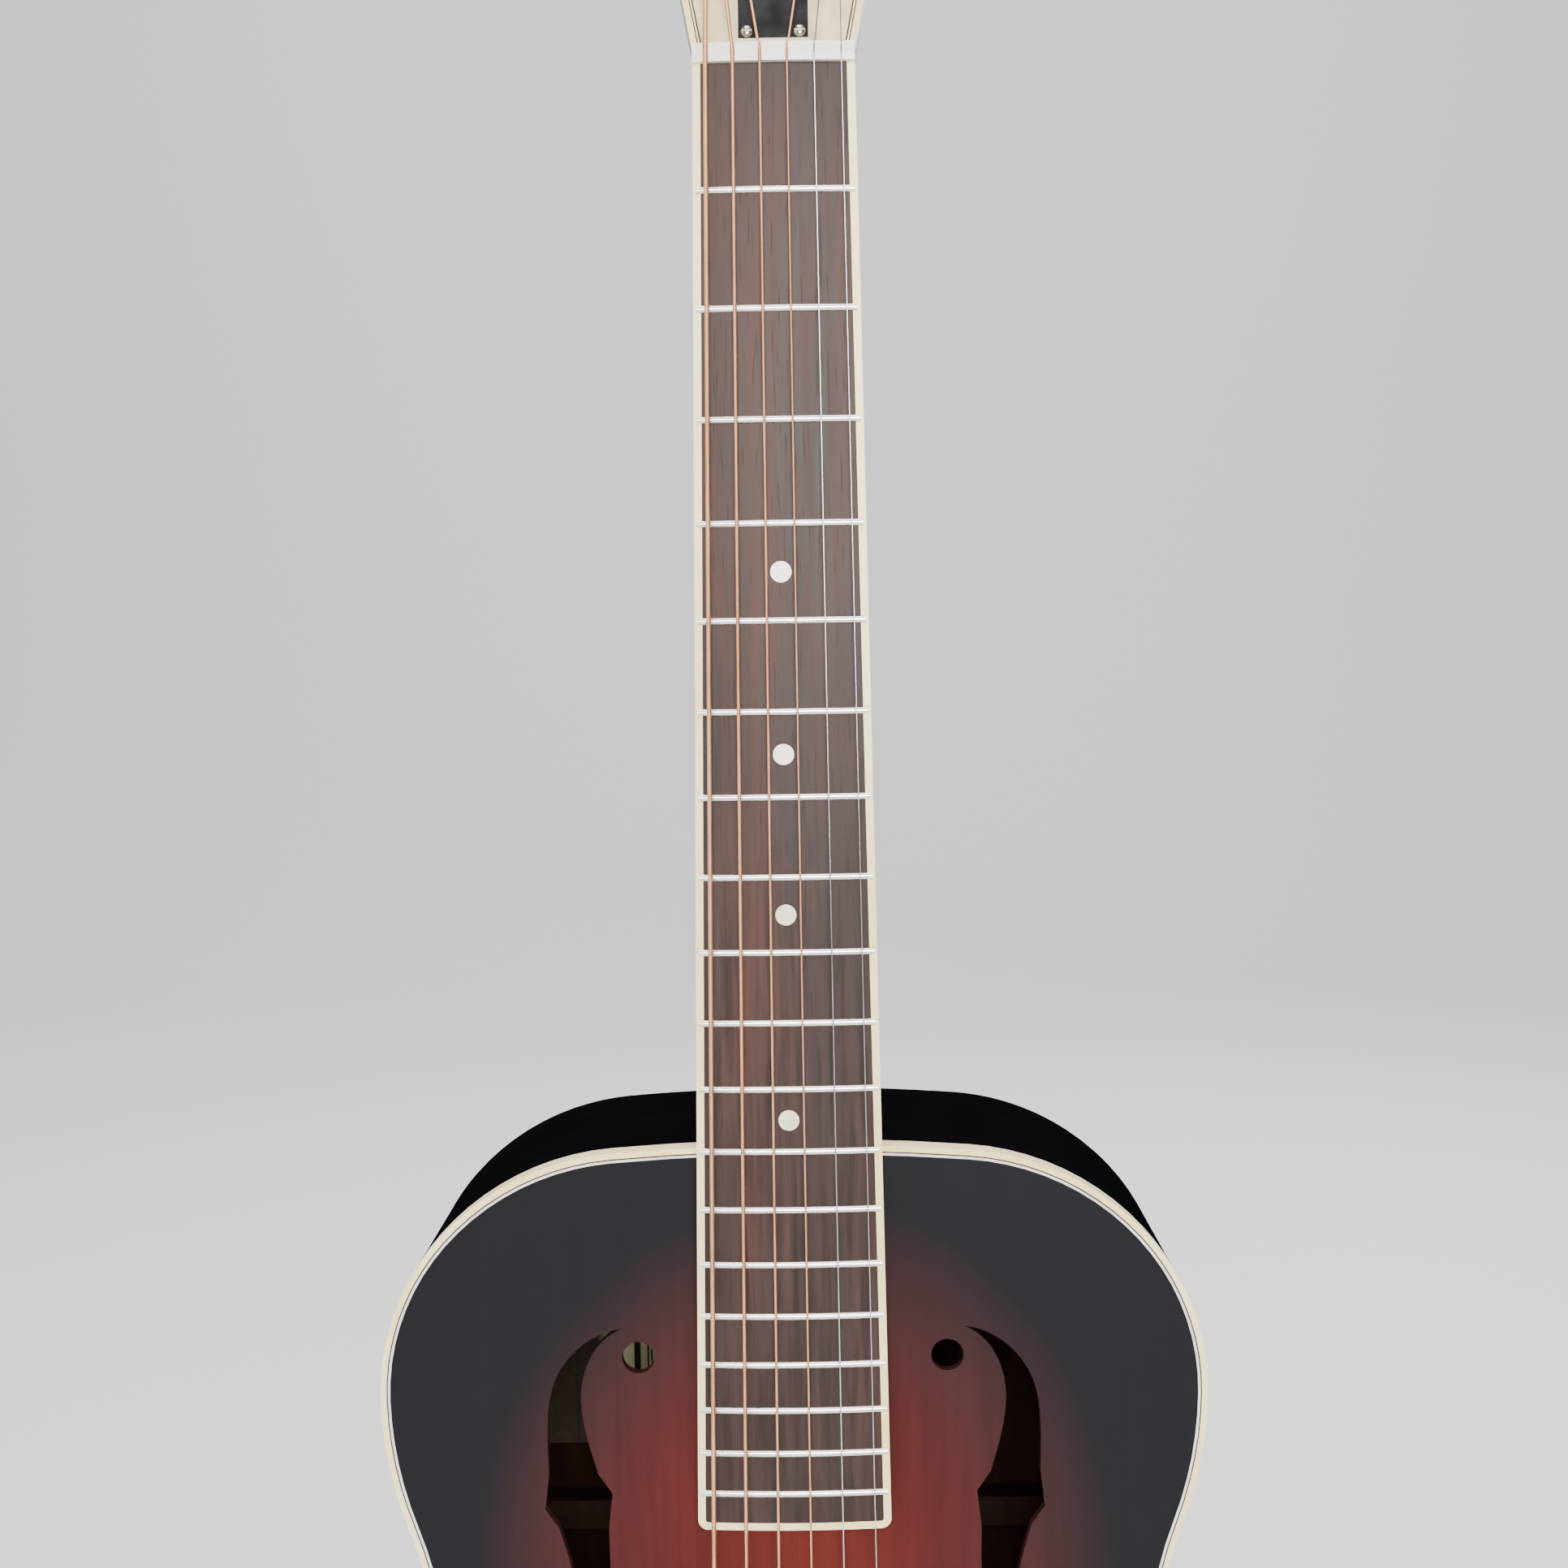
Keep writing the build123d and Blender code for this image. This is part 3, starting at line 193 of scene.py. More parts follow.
class Finish:
    """A material with one Principled shader, and short ways to feed it."""

    def __init__(self, name, colour, rough=0.5, metal=0.0, coat=0.0, coat_rough=0.05):
        self.material = bpy.data.materials.new(name)
        self.material.use_nodes = True
        self.tree = self.material.node_tree
        self.tree.nodes.clear()
        self.output = self.add("ShaderNodeOutputMaterial")
        self.skin = self.add("ShaderNodeBsdfPrincipled")
        self.join(self.skin.outputs[0], self.output.inputs["Surface"])
        self.set(self.skin, "Base Color", colour)
        self.set(self.skin, "Roughness", rough)
        self.set(self.skin, "Metallic", metal)
        self.set(self.skin, "Coat Weight", coat)
        self.set(self.skin, "Coat Roughness", coat_rough)
        self.place = self.add("ShaderNodeTexCoord").outputs["Object"]

    def add(self, kind, **settings):
        node = self.tree.nodes.new(kind)
        for key, value in settings.items():
            setattr(node, key, value)
        return node

    def join(self, source, target):
        self.tree.links.new(source, target)

    def set(self, node, socket, value):
        """Link an output to a socket, or set the socket's own value."""
        if isinstance(value, bpy.types.NodeSocket):
            self.join(value, node.inputs[socket])
        elif value is not None:
            node.inputs[socket].default_value = value

    def stretched(self, scale, shift=(0, 0, 0)):
        mapping = self.add("ShaderNodeMapping")
        self.set(mapping, "Vector", self.place)
        self.set(mapping, "Location", shift)
        self.set(mapping, "Scale", scale)
        return mapping.outputs[0]

    def noise(self, scale, detail=3.0, rough=0.55, stretch=(1, 1, 1), twist=0.0):
        node = self.add("ShaderNodeTexNoise")
        self.set(node, "Vector", self.stretched(stretch))
        self.set(node, "Scale", scale)
        self.set(node, "Detail", detail)
        self.set(node, "Roughness", rough)
        self.set(node, "Distortion", twist)
        return node.outputs["Fac"]

    def maths(self, kind, first, second=None, third=None):
        node = self.add("ShaderNodeMath", operation=kind)
        for index, value in enumerate((first, second, third)):
            self.set(node, index, value)
        return node.outputs[0]

    def along(self, direction, start=(0, 0, 0)):
        """Distance in metres from a start point along a direction."""
        shifted = self.add("ShaderNodeVectorMath", operation="SUBTRACT")
        self.set(shifted, 0, self.place)
        self.set(shifted, 1, start)
        dot = self.add("ShaderNodeVectorMath", operation="DOT_PRODUCT")
        self.join(shifted.outputs[0], dot.inputs[0])
        self.set(dot, 1, direction)
        return dot.outputs["Value"]

    def ramp(self, factor, stops):
        node = self.add("ShaderNodeValToRGB")
        marks = node.color_ramp.elements
        while len(marks) < len(stops):
            marks.new(0.5)
        for mark, (position, colour) in zip(marks, stops):
            mark.position = position
            mark.color = colour
        self.set(node, 0, factor)
        return node.outputs[0]

    def mix(self, factor, first, second, way="MIX"):
        node = self.add("ShaderNodeMix", data_type="RGBA", blend_type=way)
        self.set(node, 0, factor)
        self.set(node, 6, first)
        self.set(node, 7, second)
        return node.outputs[2]

    def span(self, value, low, high, to_low=0.0, to_high=1.0):
        node = self.add("ShaderNodeMapRange")
        for socket, number in zip((0, 1, 2, 3, 4), (value, low, high, to_low, to_high)):
            self.set(node, socket, number)
        return node.outputs[0]

    def bump(self, height, depth, strength=1.0, under=None):
        node = self.add("ShaderNodeBump")
        self.set(node, "Height", height)
        self.set(node, "Distance", depth)
        self.set(node, "Strength", strength)
        if under is not None:
            self.join(under, node.inputs["Normal"])
        self.join(node.outputs[0], self.skin.inputs["Normal"])

    def soft_edges(self, radius):
        """Normals that roll over sharp edges, as buffing leaves them."""
        node = self.add("ShaderNodeBevel", samples=4)
        self.set(node, "Radius", radius)
        self.join(node.outputs[0], self.skin.inputs["Normal"])
        return node.outputs[0]

    def colour(self, value):
        self.set(self.skin, "Base Color", value)

    def rough(self, value):
        self.set(self.skin, "Roughness", value)


print("helpers ready")

# %% [markdown]
# ## Sunburst top
# The top is mahogany, stained red-brown in the middle and sprayed nearly black towards the
# rim, under a thin satin lacquer. The spray follows the two bouts, so the pattern is the
# smaller of two stretched distances, one from the middle of each bout, joined by a smooth
# minimum so that the waist has no crease. A ramp turns that distance into colour.

# %% Sunburst finish
UPPER_BOUT = (-0.452, 0.099, 0.116)
LOWER_BOUT = (-0.648, 0.156, 0.150)


def bout_distance(finish, middle, half_wide, half_long):
    """1 on an ellipse round a bout's middle, less inside it."""
    offset = finish.stretched((1 / half_wide, 0, 1 / half_long),
                              shift=(0, 0, -middle / half_long))
    length = finish.add("ShaderNodeVectorMath", operation="LENGTH")
    finish.join(offset, length.inputs[0])
    return length.outputs["Value"]


def make_sunburst():
    top = Finish("sunburst_top", tint(100, 36, 30), rough=0.42)
    top.set(top.skin, "Specular IOR Level", 0.09)
    upper = bout_distance(top, *UPPER_BOUT)
    lower = bout_distance(top, *LOWER_BOUT)
    union = top.maths("SMOOTH_MIN", upper, lower, 0.30)
    drift = top.noise(9.0, detail=2.0)
    burst = top.maths("ADD", union, top.span(drift, 0.3, 0.7, -0.04, 0.04))
    stain = top.ramp(burst, (
        (0.00, tint(90, 32, 26)), (0.30, tint(80, 28, 26)), (0.52, tint(69, 27, 28)),
        (0.74, tint(55, 29, 31)), (0.90, tint(39, 26, 29)), (1.02, tint(23, 23, 28)),
    ))
    grain = top.noise(34.0, detail=4.0, stretch=(7, 7, 0.4), twist=0.3)
    streak = top.ramp(grain, ((0.32, (0.72, 0.68, 0.68, 1)), (0.62, (1.16, 1.12, 1.10, 1))))
    grained = top.mix(1.0, stain, streak, "MULTIPLY")
    under_spray = top.span(burst, 0.55, 0.95, 0.65, 0.06)
    top.colour(top.mix(under_spray, stain, grained))
    pores = top.noise(95.0, detail=2.0, stretch=(10, 10, 0.6))
    top.rough(top.span(grain, 0.3, 0.7, 0.38, 0.46))
    top.bump(pores, 0.00008, 0.25, under=top.soft_edges(0.0006))
    return top.material


FINISHES = {"sunburst_top": make_sunburst()}
print("sunburst nodes", len(FINISHES["sunburst_top"].node_tree.nodes))

# %% [markdown]
# ## Black lacquer
# The sides and back are sprayed gloss black. The back is one part with two faces, and its
# inner one was never sprayed. Two materials would mean touching the imported mesh, so this
# finish looks at which way a face points, and the one towards the top stays bare wood, its
# colour painted nearly black as painted shade for the dark inside the body. Faces that look
# up would mirror the pale room and turn grey, so their sheen is faded out.

# %% Black lacquer finish
def make_black_lacquer():
    black = Finish("black_lacquer", tint(10, 10, 12), rough=0.22)
    haze = black.noise(14.0, detail=4.0)
    lacquer = black.ramp(haze, ((0.3, tint(6, 6, 8)), (0.75, tint(13, 12, 15))))
    facing = black.add("ShaderNodeSeparateXYZ")
    black.join(black.add("ShaderNodeTexCoord").outputs["Normal"], facing.inputs[0])
    inside = black.span(facing.outputs[1], -0.85, -0.95)
    black.set(black.skin, "Specular IOR Level",
              black.span(facing.outputs[2], -0.4, 0.5, 0.13, 0.0))
    grain = black.noise(24.0, detail=5.0, stretch=(6, 1, 1), twist=0.4)
    # The bare inner face is painted nearly black: painted shade for the inside of the body.
    shaded_bare_wood = black.ramp(grain, ((0.3, tint(22, 12, 10)), (0.7, tint(38, 21, 15))))
    black.colour(black.mix(inside, lacquer, shaded_bare_wood))
    black.rough(black.maths("MAXIMUM", black.span(haze, 0.3, 0.7, 0.16, 0.26),
                            black.maths("MULTIPLY", inside, 0.85)))
    ripple = black.noise(30.0, detail=1.0)
    black.bump(ripple, 0.0004, 0.08)
    return black.material


FINISHES["black_lacquer"] = make_black_lacquer()
print("lacquer nodes", len(FINISHES["black_lacquer"].node_tree.nodes))

# %% [markdown]
# ## Neck and bare wood
# The neck is a dark stained mahogany under satin lacquer, and everything inside the body is
# left as bare wood, with painted shade: its colour is nearly black, for the dark inside the
# box. The saddle and the biscuit are pale sanded maple. Wood's fibres run one way, so its
# noise is stretched along them: the smaller an axis's scale, the longer the streaks along it.
# One function makes both bare woods.

# %% Neck and bare wood finishes
def make_dark_neck():
    neck = Finish("dark_neck", tint(40, 22, 18), rough=0.34, coat=0.3, coat_rough=0.2)
    grain = neck.noise(30.0, detail=4.0, stretch=(8, 8, 0.5), twist=0.3)
    neck.colour(neck.ramp(grain, ((0.3, tint(24, 13, 12)), (0.7, tint(52, 27, 21)))))
    neck.rough(neck.span(grain, 0.3, 0.7, 0.28, 0.42))
    neck.bump(neck.noise(90.0, stretch=(9, 9, 0.6)), 0.00008, 0.3)
    return neck.material


def make_bare_wood(name, dark, light, size, stretch):
    wood = Finish(name, light, rough=0.7)
    wood.set(wood.skin, "Specular IOR Level", 0.15)
    grain = wood.noise(size, detail=5.0, stretch=stretch, twist=0.4)
    wood.colour(wood.ramp(grain, ((0.3, dark), (0.68, light))))
    wood.rough(wood.span(grain, 0.3, 0.7, 0.62, 0.8))
    wood.bump(grain, 0.0002, 0.35)
    return wood.material


FINISHES["dark_neck"] = make_dark_neck()
# Inside the body the bare wood is painted nearly black: painted shade, not the wood's own colour.
FINISHES["raw_wood"] = make_bare_wood("raw_wood", tint(20, 11, 9), tint(40, 23, 17), 24.0,
                                      (6, 1, 1))
FINISHES["maple"] = make_bare_wood("maple", tint(176, 138, 92), tint(212, 178, 128), 30.0,
                                   (1, 5, 5))
print("woods", sorted(FINISHES))

# %% [markdown]
# ## Rosewood fingerboard
# Rosewood is dark grey-brown with red and tan streaks that run the length of the board, and
# short open pores. One noise would look like marble, so three stretched ones share the work:
# a slow one for the colour, a finer one for the streaks and a very thin one for the pores,
# which also sink into the surface.

# %% Rosewood finish
def make_rosewood():
    board = Finish("rosewood", tint(84, 62, 58), rough=0.44)
    board.set(board.skin, "Specular IOR Level", 0.22)
    slow = board.noise(16.0, detail=3.0, stretch=(3, 1, 0.35), twist=0.3)
    streak = board.noise(60.0, detail=5.0, stretch=(7, 3, 0.4), twist=0.5)
    warm = board.ramp(slow, ((0.30, tint(50, 40, 40)), (0.50, tint(60, 44, 42)),
                             (0.70, tint(76, 47, 40))))
    lines = board.ramp(streak, ((0.34, tint(170, 160, 156)), (0.50, tint(222, 216, 212)),
                                (0.66, tint(255, 250, 246))))
    board_colour = board.mix(0.9, warm, board.mix(1.0, warm, lines, "MULTIPLY"))
    pore = board.noise(150.0, detail=1.0, stretch=(8, 4, 0.45))
    pits = board.span(pore, 0.64, 0.74, 0.0, 0.6)
    board.colour(board.mix(pits, board_colour, tint(44, 32, 31)))
    board.rough(board.span(streak, 0.3, 0.7, 0.38, 0.52))
    depth = board.maths("MULTIPLY", pits, -1.0)
    board.bump(depth, 0.00012, 0.6)
    return board.material


FINISHES["rosewood"] = make_rosewood()
print("rosewood ready")

# %% [markdown]
# ## Cream plastic and bone
# The binding is cream celluloid that has yellowed unevenly. Light goes a little way into it,
# which a small subsurface weight gives. The nut is polished bone, with faint lines along its
# length. Both are a noise between two near colours, and only the bone's noise is stretched.

# %% Cream plastic and bone finishes
def make_cream():
    cream = Finish("cream_binding", tint(253, 238, 184), rough=0.3, coat=0.3, coat_rough=0.12)
    age = cream.noise(26.0, detail=4.0)
    cream.colour(cream.ramp(age, ((0.3, tint(246, 224, 154)), (0.7, tint(253, 238, 184)))))
    cream.rough(cream.span(age, 0.3, 0.7, 0.25, 0.4))
    cream.bump(cream.noise(400.0, detail=2.0), 0.00004, 0.2)
    cream.set(cream.skin, "Subsurface Weight", 0.15)
    cream.set(cream.skin, "Subsurface Radius", (0.0012, 0.0009, 0.0005))
    return cream.material


def make_bone():
    bone = Finish("bone", tint(236, 230, 214), rough=0.28, coat=0.2)
    fibre = bone.noise(90.0, detail=3.0, stretch=(0.5, 4, 4))
    bone.colour(bone.ramp(fibre, ((0.3, tint(222, 214, 192)), (0.7, tint(244, 241, 232)))))
    bone.rough(bone.span(fibre, 0.3, 0.7, 0.24, 0.36))
    bone.bump(fibre, 0.00004, 0.3)
    return bone.material


FINISHES["cream_binding"] = make_cream()
FINISHES["bone"] = make_bone()
print("finishes so far", len(FINISHES))

# %% [markdown]
# ## Pearl
# The position dots and the headstock's face are pearly: flakes at different angles shine
# more or less, and the pattern drifts like cloud between them. Voronoi cells, warped by a
# noise, stand for the flakes, and a second noise adds the cloud. A clear coat lies over it.

# %% Pearl finish
def make_pearl(name, pale, deep, size):
    pearl = Finish(name, pale, rough=0.22, coat=0.6, coat_rough=0.06)
    cells = pearl.add("ShaderNodeTexVoronoi", feature="SMOOTH_F1")
    warped = pearl.add("ShaderNodeTexNoise")
    pearl.set(warped, "Vector", pearl.place)
    pearl.set(warped, "Scale", size * 0.6)
    moved = pearl.mix(0.02, pearl.place, warped.outputs["Color"], "ADD")
    pearl.set(cells, "Vector", moved)
    pearl.set(cells, "Scale", size)
    grey = pearl.add("ShaderNodeSeparateColor")
    pearl.join(cells.outputs["Color"], grey.inputs[0])
    drift = pearl.noise(size * 2.2, detail=5.0, twist=1.5)
    both = pearl.maths("ADD", pearl.maths("MULTIPLY", grey.outputs[0], 0.6),
                       pearl.maths("MULTIPLY", drift, 0.5))
    pearl.colour(pearl.ramp(both, ((0.25, deep), (0.85, pale))))
    pearl.rough(pearl.span(both, 0.2, 0.8, 0.16, 0.34))
    pearl.bump(both, 0.00006, 0.15)
    return pearl.material


FINISHES["pearl"] = make_pearl("pearl", tint(250, 247, 232), tint(226, 218, 190), 260.0)
FINISHES["pearloid"] = make_pearl("pearloid", tint(242, 230, 192), tint(206, 188, 136), 110.0)
print("finishes so far", len(FINISHES))

# %% [markdown]
# ## Black plastic
# The end pin is black plastic, polished and then rubbed by years of handling. The rubbing is
# a noise that changes both the black and the roughness, so that the wear shows in the sheen.

# %% Black plastic finish
def make_black_plastic():
    black = Finish("black_plastic", tint(14, 14, 15), rough=0.25, coat=0.3)
    marks = black.noise(120.0, detail=3.0)
    black.colour(black.ramp(marks, ((0.3, tint(10, 10, 11)), (0.8, tint(24, 24, 26)))))
    black.rough(black.span(marks, 0.3, 0.7, 0.18, 0.34))
    black.bump(marks, 0.00003, 0.2)
    return black.material


FINISHES["black_plastic"] = make_black_plastic()
print("black plastic ready")

# %% [markdown]
# ## Paper label
# A paper label is glued inside the back, where the round hole and the f-hole look down on
# it. It is lit under the round hole, and beyond it a painted shadow darkens the paper nearly
# to black. Its print is a bar and three thin rules. A drawing would need an image, so each
# line is the paper's distance from the line's middle, cut at half the line's width.

# %% Paper label finish
SHADOW_FROM = -0.060
SHADOW_FULL_BY = -0.068
LABEL_LINES = ((-0.0542, 0.0011), (-0.0505, 0.0003), (-0.0493, 0.0003), (-0.0750, 0.0004))


def stripe(finish, across, middle, half):
    """1 within half a width of a line, 0 elsewhere, with a soft edge."""
    away = finish.maths("ABSOLUTE", finish.maths("SUBTRACT", across, middle))
    return finish.span(away, half * 0.85, half * 1.15, 1.0, 0.0)


def make_paper():
    """Cream paper with a painted shadow away from the round hole, and a printed bar and three
    rules.
    """
    paper = Finish("paper", tint(206, 196, 158), rough=0.85)
    fibre = paper.noise(300.0, detail=5.0)
    lit_paper = paper.ramp(fibre, ((0.3, tint(206, 198, 156)), (0.7, tint(232, 224, 186))))
    # Painted shadow: beyond the round hole the paper's colour is nearly black, for the shade
    # inside the body.
    shadowed_paper = paper.ramp(fibre, ((0.3, tint(36, 26, 18)), (0.7, tint(54, 40, 27))))
    across = paper.along((1, 0, 0))
    ground = paper.mix(paper.span(across, SHADOW_FROM, SHADOW_FULL_BY), lit_paper, shadowed_paper)
    ink = tint(26, 24, 22)
    for middle, half in LABEL_LINES:
        ground = paper.mix(stripe(paper, across, middle, half), ground, ink)
    paper.colour(ground)
    paper.bump(fibre, 0.00005, 0.3)
    return paper.material


FINISHES["paper"] = make_paper()
print("paper ready")

# %% [markdown]
# ## Plated and drawn metals
# Nickel plate is bright and slightly warm, with a haze of fine wiping marks, and buffing has
# rolled its edges over, which the bevel node copies in the shading alone. The frets are nickel
# silver, with marks along their own length. One function serves them all: only the colours,
# the roughness, the edges, the grain's size and its direction differ.

# %% Plated and drawn metals
def make_metal(name, dark, light, rough, size, edge=None, stretch=(1, 1, 1)):
    metal = Finish(name, light, rough=rough, metal=1.0)
    haze = metal.noise(size, detail=5.0, rough=0.65, stretch=stretch)
    metal.colour(metal.ramp(haze, ((0.3, dark), (0.7, light))))
    metal.rough(metal.span(haze, 0.3, 0.75, rough * 0.7, rough * 1.5))
    under = metal.soft_edges(edge) if edge else None
    metal.bump(metal.noise(size * 6, detail=3.0, stretch=stretch), 0.00003, 0.15, under=under)
    return metal.material


FINISHES["nickel"] = make_metal("nickel", tint(158, 152, 143), tint(196, 191, 182), 0.13, 30.0,
                                edge=0.0004)
FINISHES["nickel_silver"] = make_metal("nickel_silver", tint(214, 212, 204),
                                       tint(240, 239, 234), 0.24, 60.0, stretch=(0.5, 1, 2))
FINISHES["steel"] = make_metal("steel", tint(150, 150, 152), tint(186, 186, 188), 0.34, 80.0)
FINISHES["plain_steel"] = make_metal("plain_steel", tint(196, 196, 198), tint(226, 226, 228),
                                     0.2, 300.0, stretch=(1, 1, 0.05))
print("metals ready")

# %% [markdown]
# ## Spun cone
# The cone is thin aluminium, spun on a lathe, so its tool marks are rings. They are far too
# fine to model, so a sine of the distance from the cone's middle gives the bump, with a ring
# each 0.7 mm.

# %% Spun aluminium finish
CONE_MIDDLE = -0.635
RING_RATE = 9000.0


def ring_distance(finish, middle):
    """Distance in metres from a line through middle, straight out of the guitar's face."""
    flat = finish.stretched((1, 0, 1), shift=(0, 0, -middle))
    length = finish.add("ShaderNodeVectorMath", operation="LENGTH")
    finish.join(flat, length.inputs[0])
    return length.outputs["Value"]


def make_spun_aluminium():
    spun = Finish("spun_aluminium", tint(206, 208, 212), rough=0.32, metal=1.0)
    away = ring_distance(spun, CONE_MIDDLE)
    rings = spun.maths("SINE", spun.maths("MULTIPLY", away, RING_RATE))
    haze = spun.noise(20.0, detail=4.0)
    spun.colour(spun.ramp(haze, ((0.3, tint(186, 188, 192)), (0.7, tint(216, 218, 222)))))
    spun.rough(spun.span(haze, 0.3, 0.7, 0.26, 0.42))
    spun.bump(rings, 0.00003, 0.5)
    return spun.material


FINISHES["spun_aluminium"] = make_spun_aluminium()
print("spun aluminium ready")

# %% [markdown]
# ## Wound strings
# The four lower strings are steel with a fine bronze wire laid round them. A real helix of
# that wire would be millions of triangles, so the turns are a wave along the string, about
# four to the millimetre, with painted shade in the grooves, and raised by the bump.

# %% Wound string finish
WINDING_PITCH = 0.00026


def make_wound():
    wound = Finish("bronze_wound", tint(240, 186, 146), rough=0.42, metal=1.0)
    along = wound.along((0, 0, 1))
    turns = wound.maths("SINE", wound.maths("MULTIPLY", along, 2 * math.pi / WINDING_PITCH))
    wear = wound.noise(40.0, detail=3.0)
    bright = wound.ramp(wear, ((0.3, tint(232, 172, 130)), (0.7, tint(250, 204, 166))))
    # Painted shade: the bronze is darker in the grooves between turns.
    groove_shade = wound.span(turns, -1.0, -0.2)
    wound.colour(wound.mix(groove_shade, tint(196, 134, 96), bright))
    wound.rough(wound.span(wear, 0.3, 0.7, 0.36, 0.5))
    wound.bump(turns, 0.00006, 0.7)
    return wound.material


FINISHES["bronze_wound"] = make_wound()
print("strings ready")

# %% [markdown]
# ## Tuning machines
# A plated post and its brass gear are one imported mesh, and so are a plated worm shaft and its
# aged ivory plastic button. One finish therefore changes along each part: a post turns to brass
# behind the headstock and back to plate at the gear's screw, and a shaft turns to plastic where
# its button starts. The rows of buttons lean outwards, so that start follows their slant.

# %% Finishes that change along a part
TILT = math.radians(14.0)
HEAD_UP = Vector((0, math.sin(TILT), math.cos(TILT)))
HEAD_OUT = Vector((0, -math.cos(TILT), math.sin(TILT)))
HEAD_FOOT = Vector((0, 6.0, 5.2)) * MM
GEAR_LEVEL = -0.0175
GEAR_SCREW_LEVEL = -0.0204
BUTTON_START = 0.0346
SHAFT_SLANT = 2.0 / 37.0
BLEND = 0.0001


def make_post_finish():
    post = Finish("post_and_gear", tint(220, 216, 208), rough=0.18, metal=1.0)
    haze = post.noise(60.0, detail=4.0)
    plate = post.ramp(haze, ((0.3, tint(190, 184, 174)), (0.7, tint(222, 218, 210))))
    brass = post.ramp(haze, ((0.3, tint(176, 138, 72)), (0.7, tint(214, 178, 104))))
    height = post.along(HEAD_OUT, HEAD_FOOT)
    behind = post.span(height, GEAR_LEVEL, GEAR_LEVEL + BLEND, 1.0, 0.0)
    screw = post.span(height, GEAR_SCREW_LEVEL, GEAR_SCREW_LEVEL + BLEND, 1.0, 0.0)
    post.colour(post.mix(screw, post.mix(behind, plate, brass), plate))
    post.rough(post.span(haze, 0.3, 0.7, 0.14, 0.28))
    post.bump(post.noise(500.0, detail=2.0), 0.00002, 0.2)
    return post.material


def make_shaft_finish():
    shaft = Finish("shaft_and_button", tint(222, 210, 178), rough=0.24, coat=0.3)
    haze = shaft.noise(40.0, detail=4.0)
    plate = shaft.ramp(haze, ((0.3, tint(190, 184, 174)), (0.7, tint(222, 218, 210))))
    ivory = shaft.ramp(haze, ((0.3, tint(216, 200, 158)), (0.7, tint(236, 226, 194))))
    axes = shaft.add("ShaderNodeSeparateXYZ")
    shaft.join(shaft.place, axes.inputs[0])
    away = shaft.maths("ABSOLUTE", axes.outputs[0])
    up = shaft.along(HEAD_UP, HEAD_FOOT)
    slant = shaft.maths("MULTIPLY_ADD", up, -SHAFT_SLANT, away)
    is_button = shaft.span(slant, BUTTON_START, BUTTON_START + BLEND)
    shaft.colour(shaft.mix(is_button, plate, ivory))
    shaft.set(shaft.skin, "Metallic", shaft.maths("SUBTRACT", 1.0, is_button))
    shaft.rough(shaft.span(haze, 0.3, 0.7, 0.16, 0.32))
    shaft.bump(haze, 0.00003, 0.2)
    return shaft.material


POST_FINISH = make_post_finish()
SHAFT_FINISH = make_shaft_finish()
print("tuner finishes ready")

# %% [markdown]
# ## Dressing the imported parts
# The record names a material slot for every node, so a table from slot to finish dresses
# sixty parts in one loop, with no list of names to keep in step. Posts and shafts take the
# two-tone finishes instead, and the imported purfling, which a new piece replaces below, wears
# the binding's cream until then. The meshes themselves are left as they are.

# %% Dress every node
def dress(obj, material):
    obj.data.materials.clear()
    obj.data.materials.append(material)


SLOT_OF = {part["node"]: part["material_slot"] for part in frame["record"]["subparts"]}
for name, obj in frame["nodes"].items():
    if name.startswith("tuner_post"):
        dress(obj, POST_FINISH)
    elif name.startswith("tuner_shaft"):
        dress(obj, SHAFT_FINISH)
    else:
        dress(obj, FINISHES.get(SLOT_OF[name], FINISHES["cream_binding"]))
print("dressed", len(frame["nodes"]))

# %% [markdown]
# ## Helpers for new pieces
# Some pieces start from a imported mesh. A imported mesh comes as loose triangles, so a copy of it
# has its doubled points merged first, and then its edges can be followed from one to the next.

# %% Mesh helpers
def merged_copy(node, name):
    """A bmesh of a node's mesh with its loose triangles joined, and a new mesh to hold it."""
    bm = bmesh.new()
    bm.from_mesh(frame["nodes"][node].data)
    bmesh.ops.remove_doubles(bm, verts=bm.verts[:], dist=0.000002)
    mesh = bpy.data.meshes.new(name)
    return bm, mesh


def finish_piece(bm, mesh, materials, smooth=False):
    bm.to_mesh(mesh)
    bm.free()
    piece = bpy.data.objects.new(mesh.name, mesh)
    bpy.context.collection.objects.link(piece)
    for material in materials:
        mesh.materials.append(material)
    if smooth:
        mesh.shade_smooth()
    return piece


def edge_groups(edges):
    """Split edges into connected loops, each a set of vertices."""
    left = set(edges)
    groups = []
    while left:
        group = set()
        front = [left.pop()]
        while front:
            edge = front.pop()
            for vert in edge.verts:
                group.add(vert)
                near = [e for e in vert.link_edges if e in left]
                left.difference_update(near)
                front.extend(near)
        groups.append(group)
    return groups


print("mesh helpers ready")

# %% [markdown]
# ## Purfling
# Inside the cream binding runs a thin black line and then a whitish one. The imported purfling
# is one ring. Two thin rings would have to meet exactly all the way round, so a copy of the
# one ring gets a value across it, 0 on its outer edge and 1 on its inner edge, and the finish
# splits that value into the lines.

# %% Purfling lines
RING_REACH = 0.0004


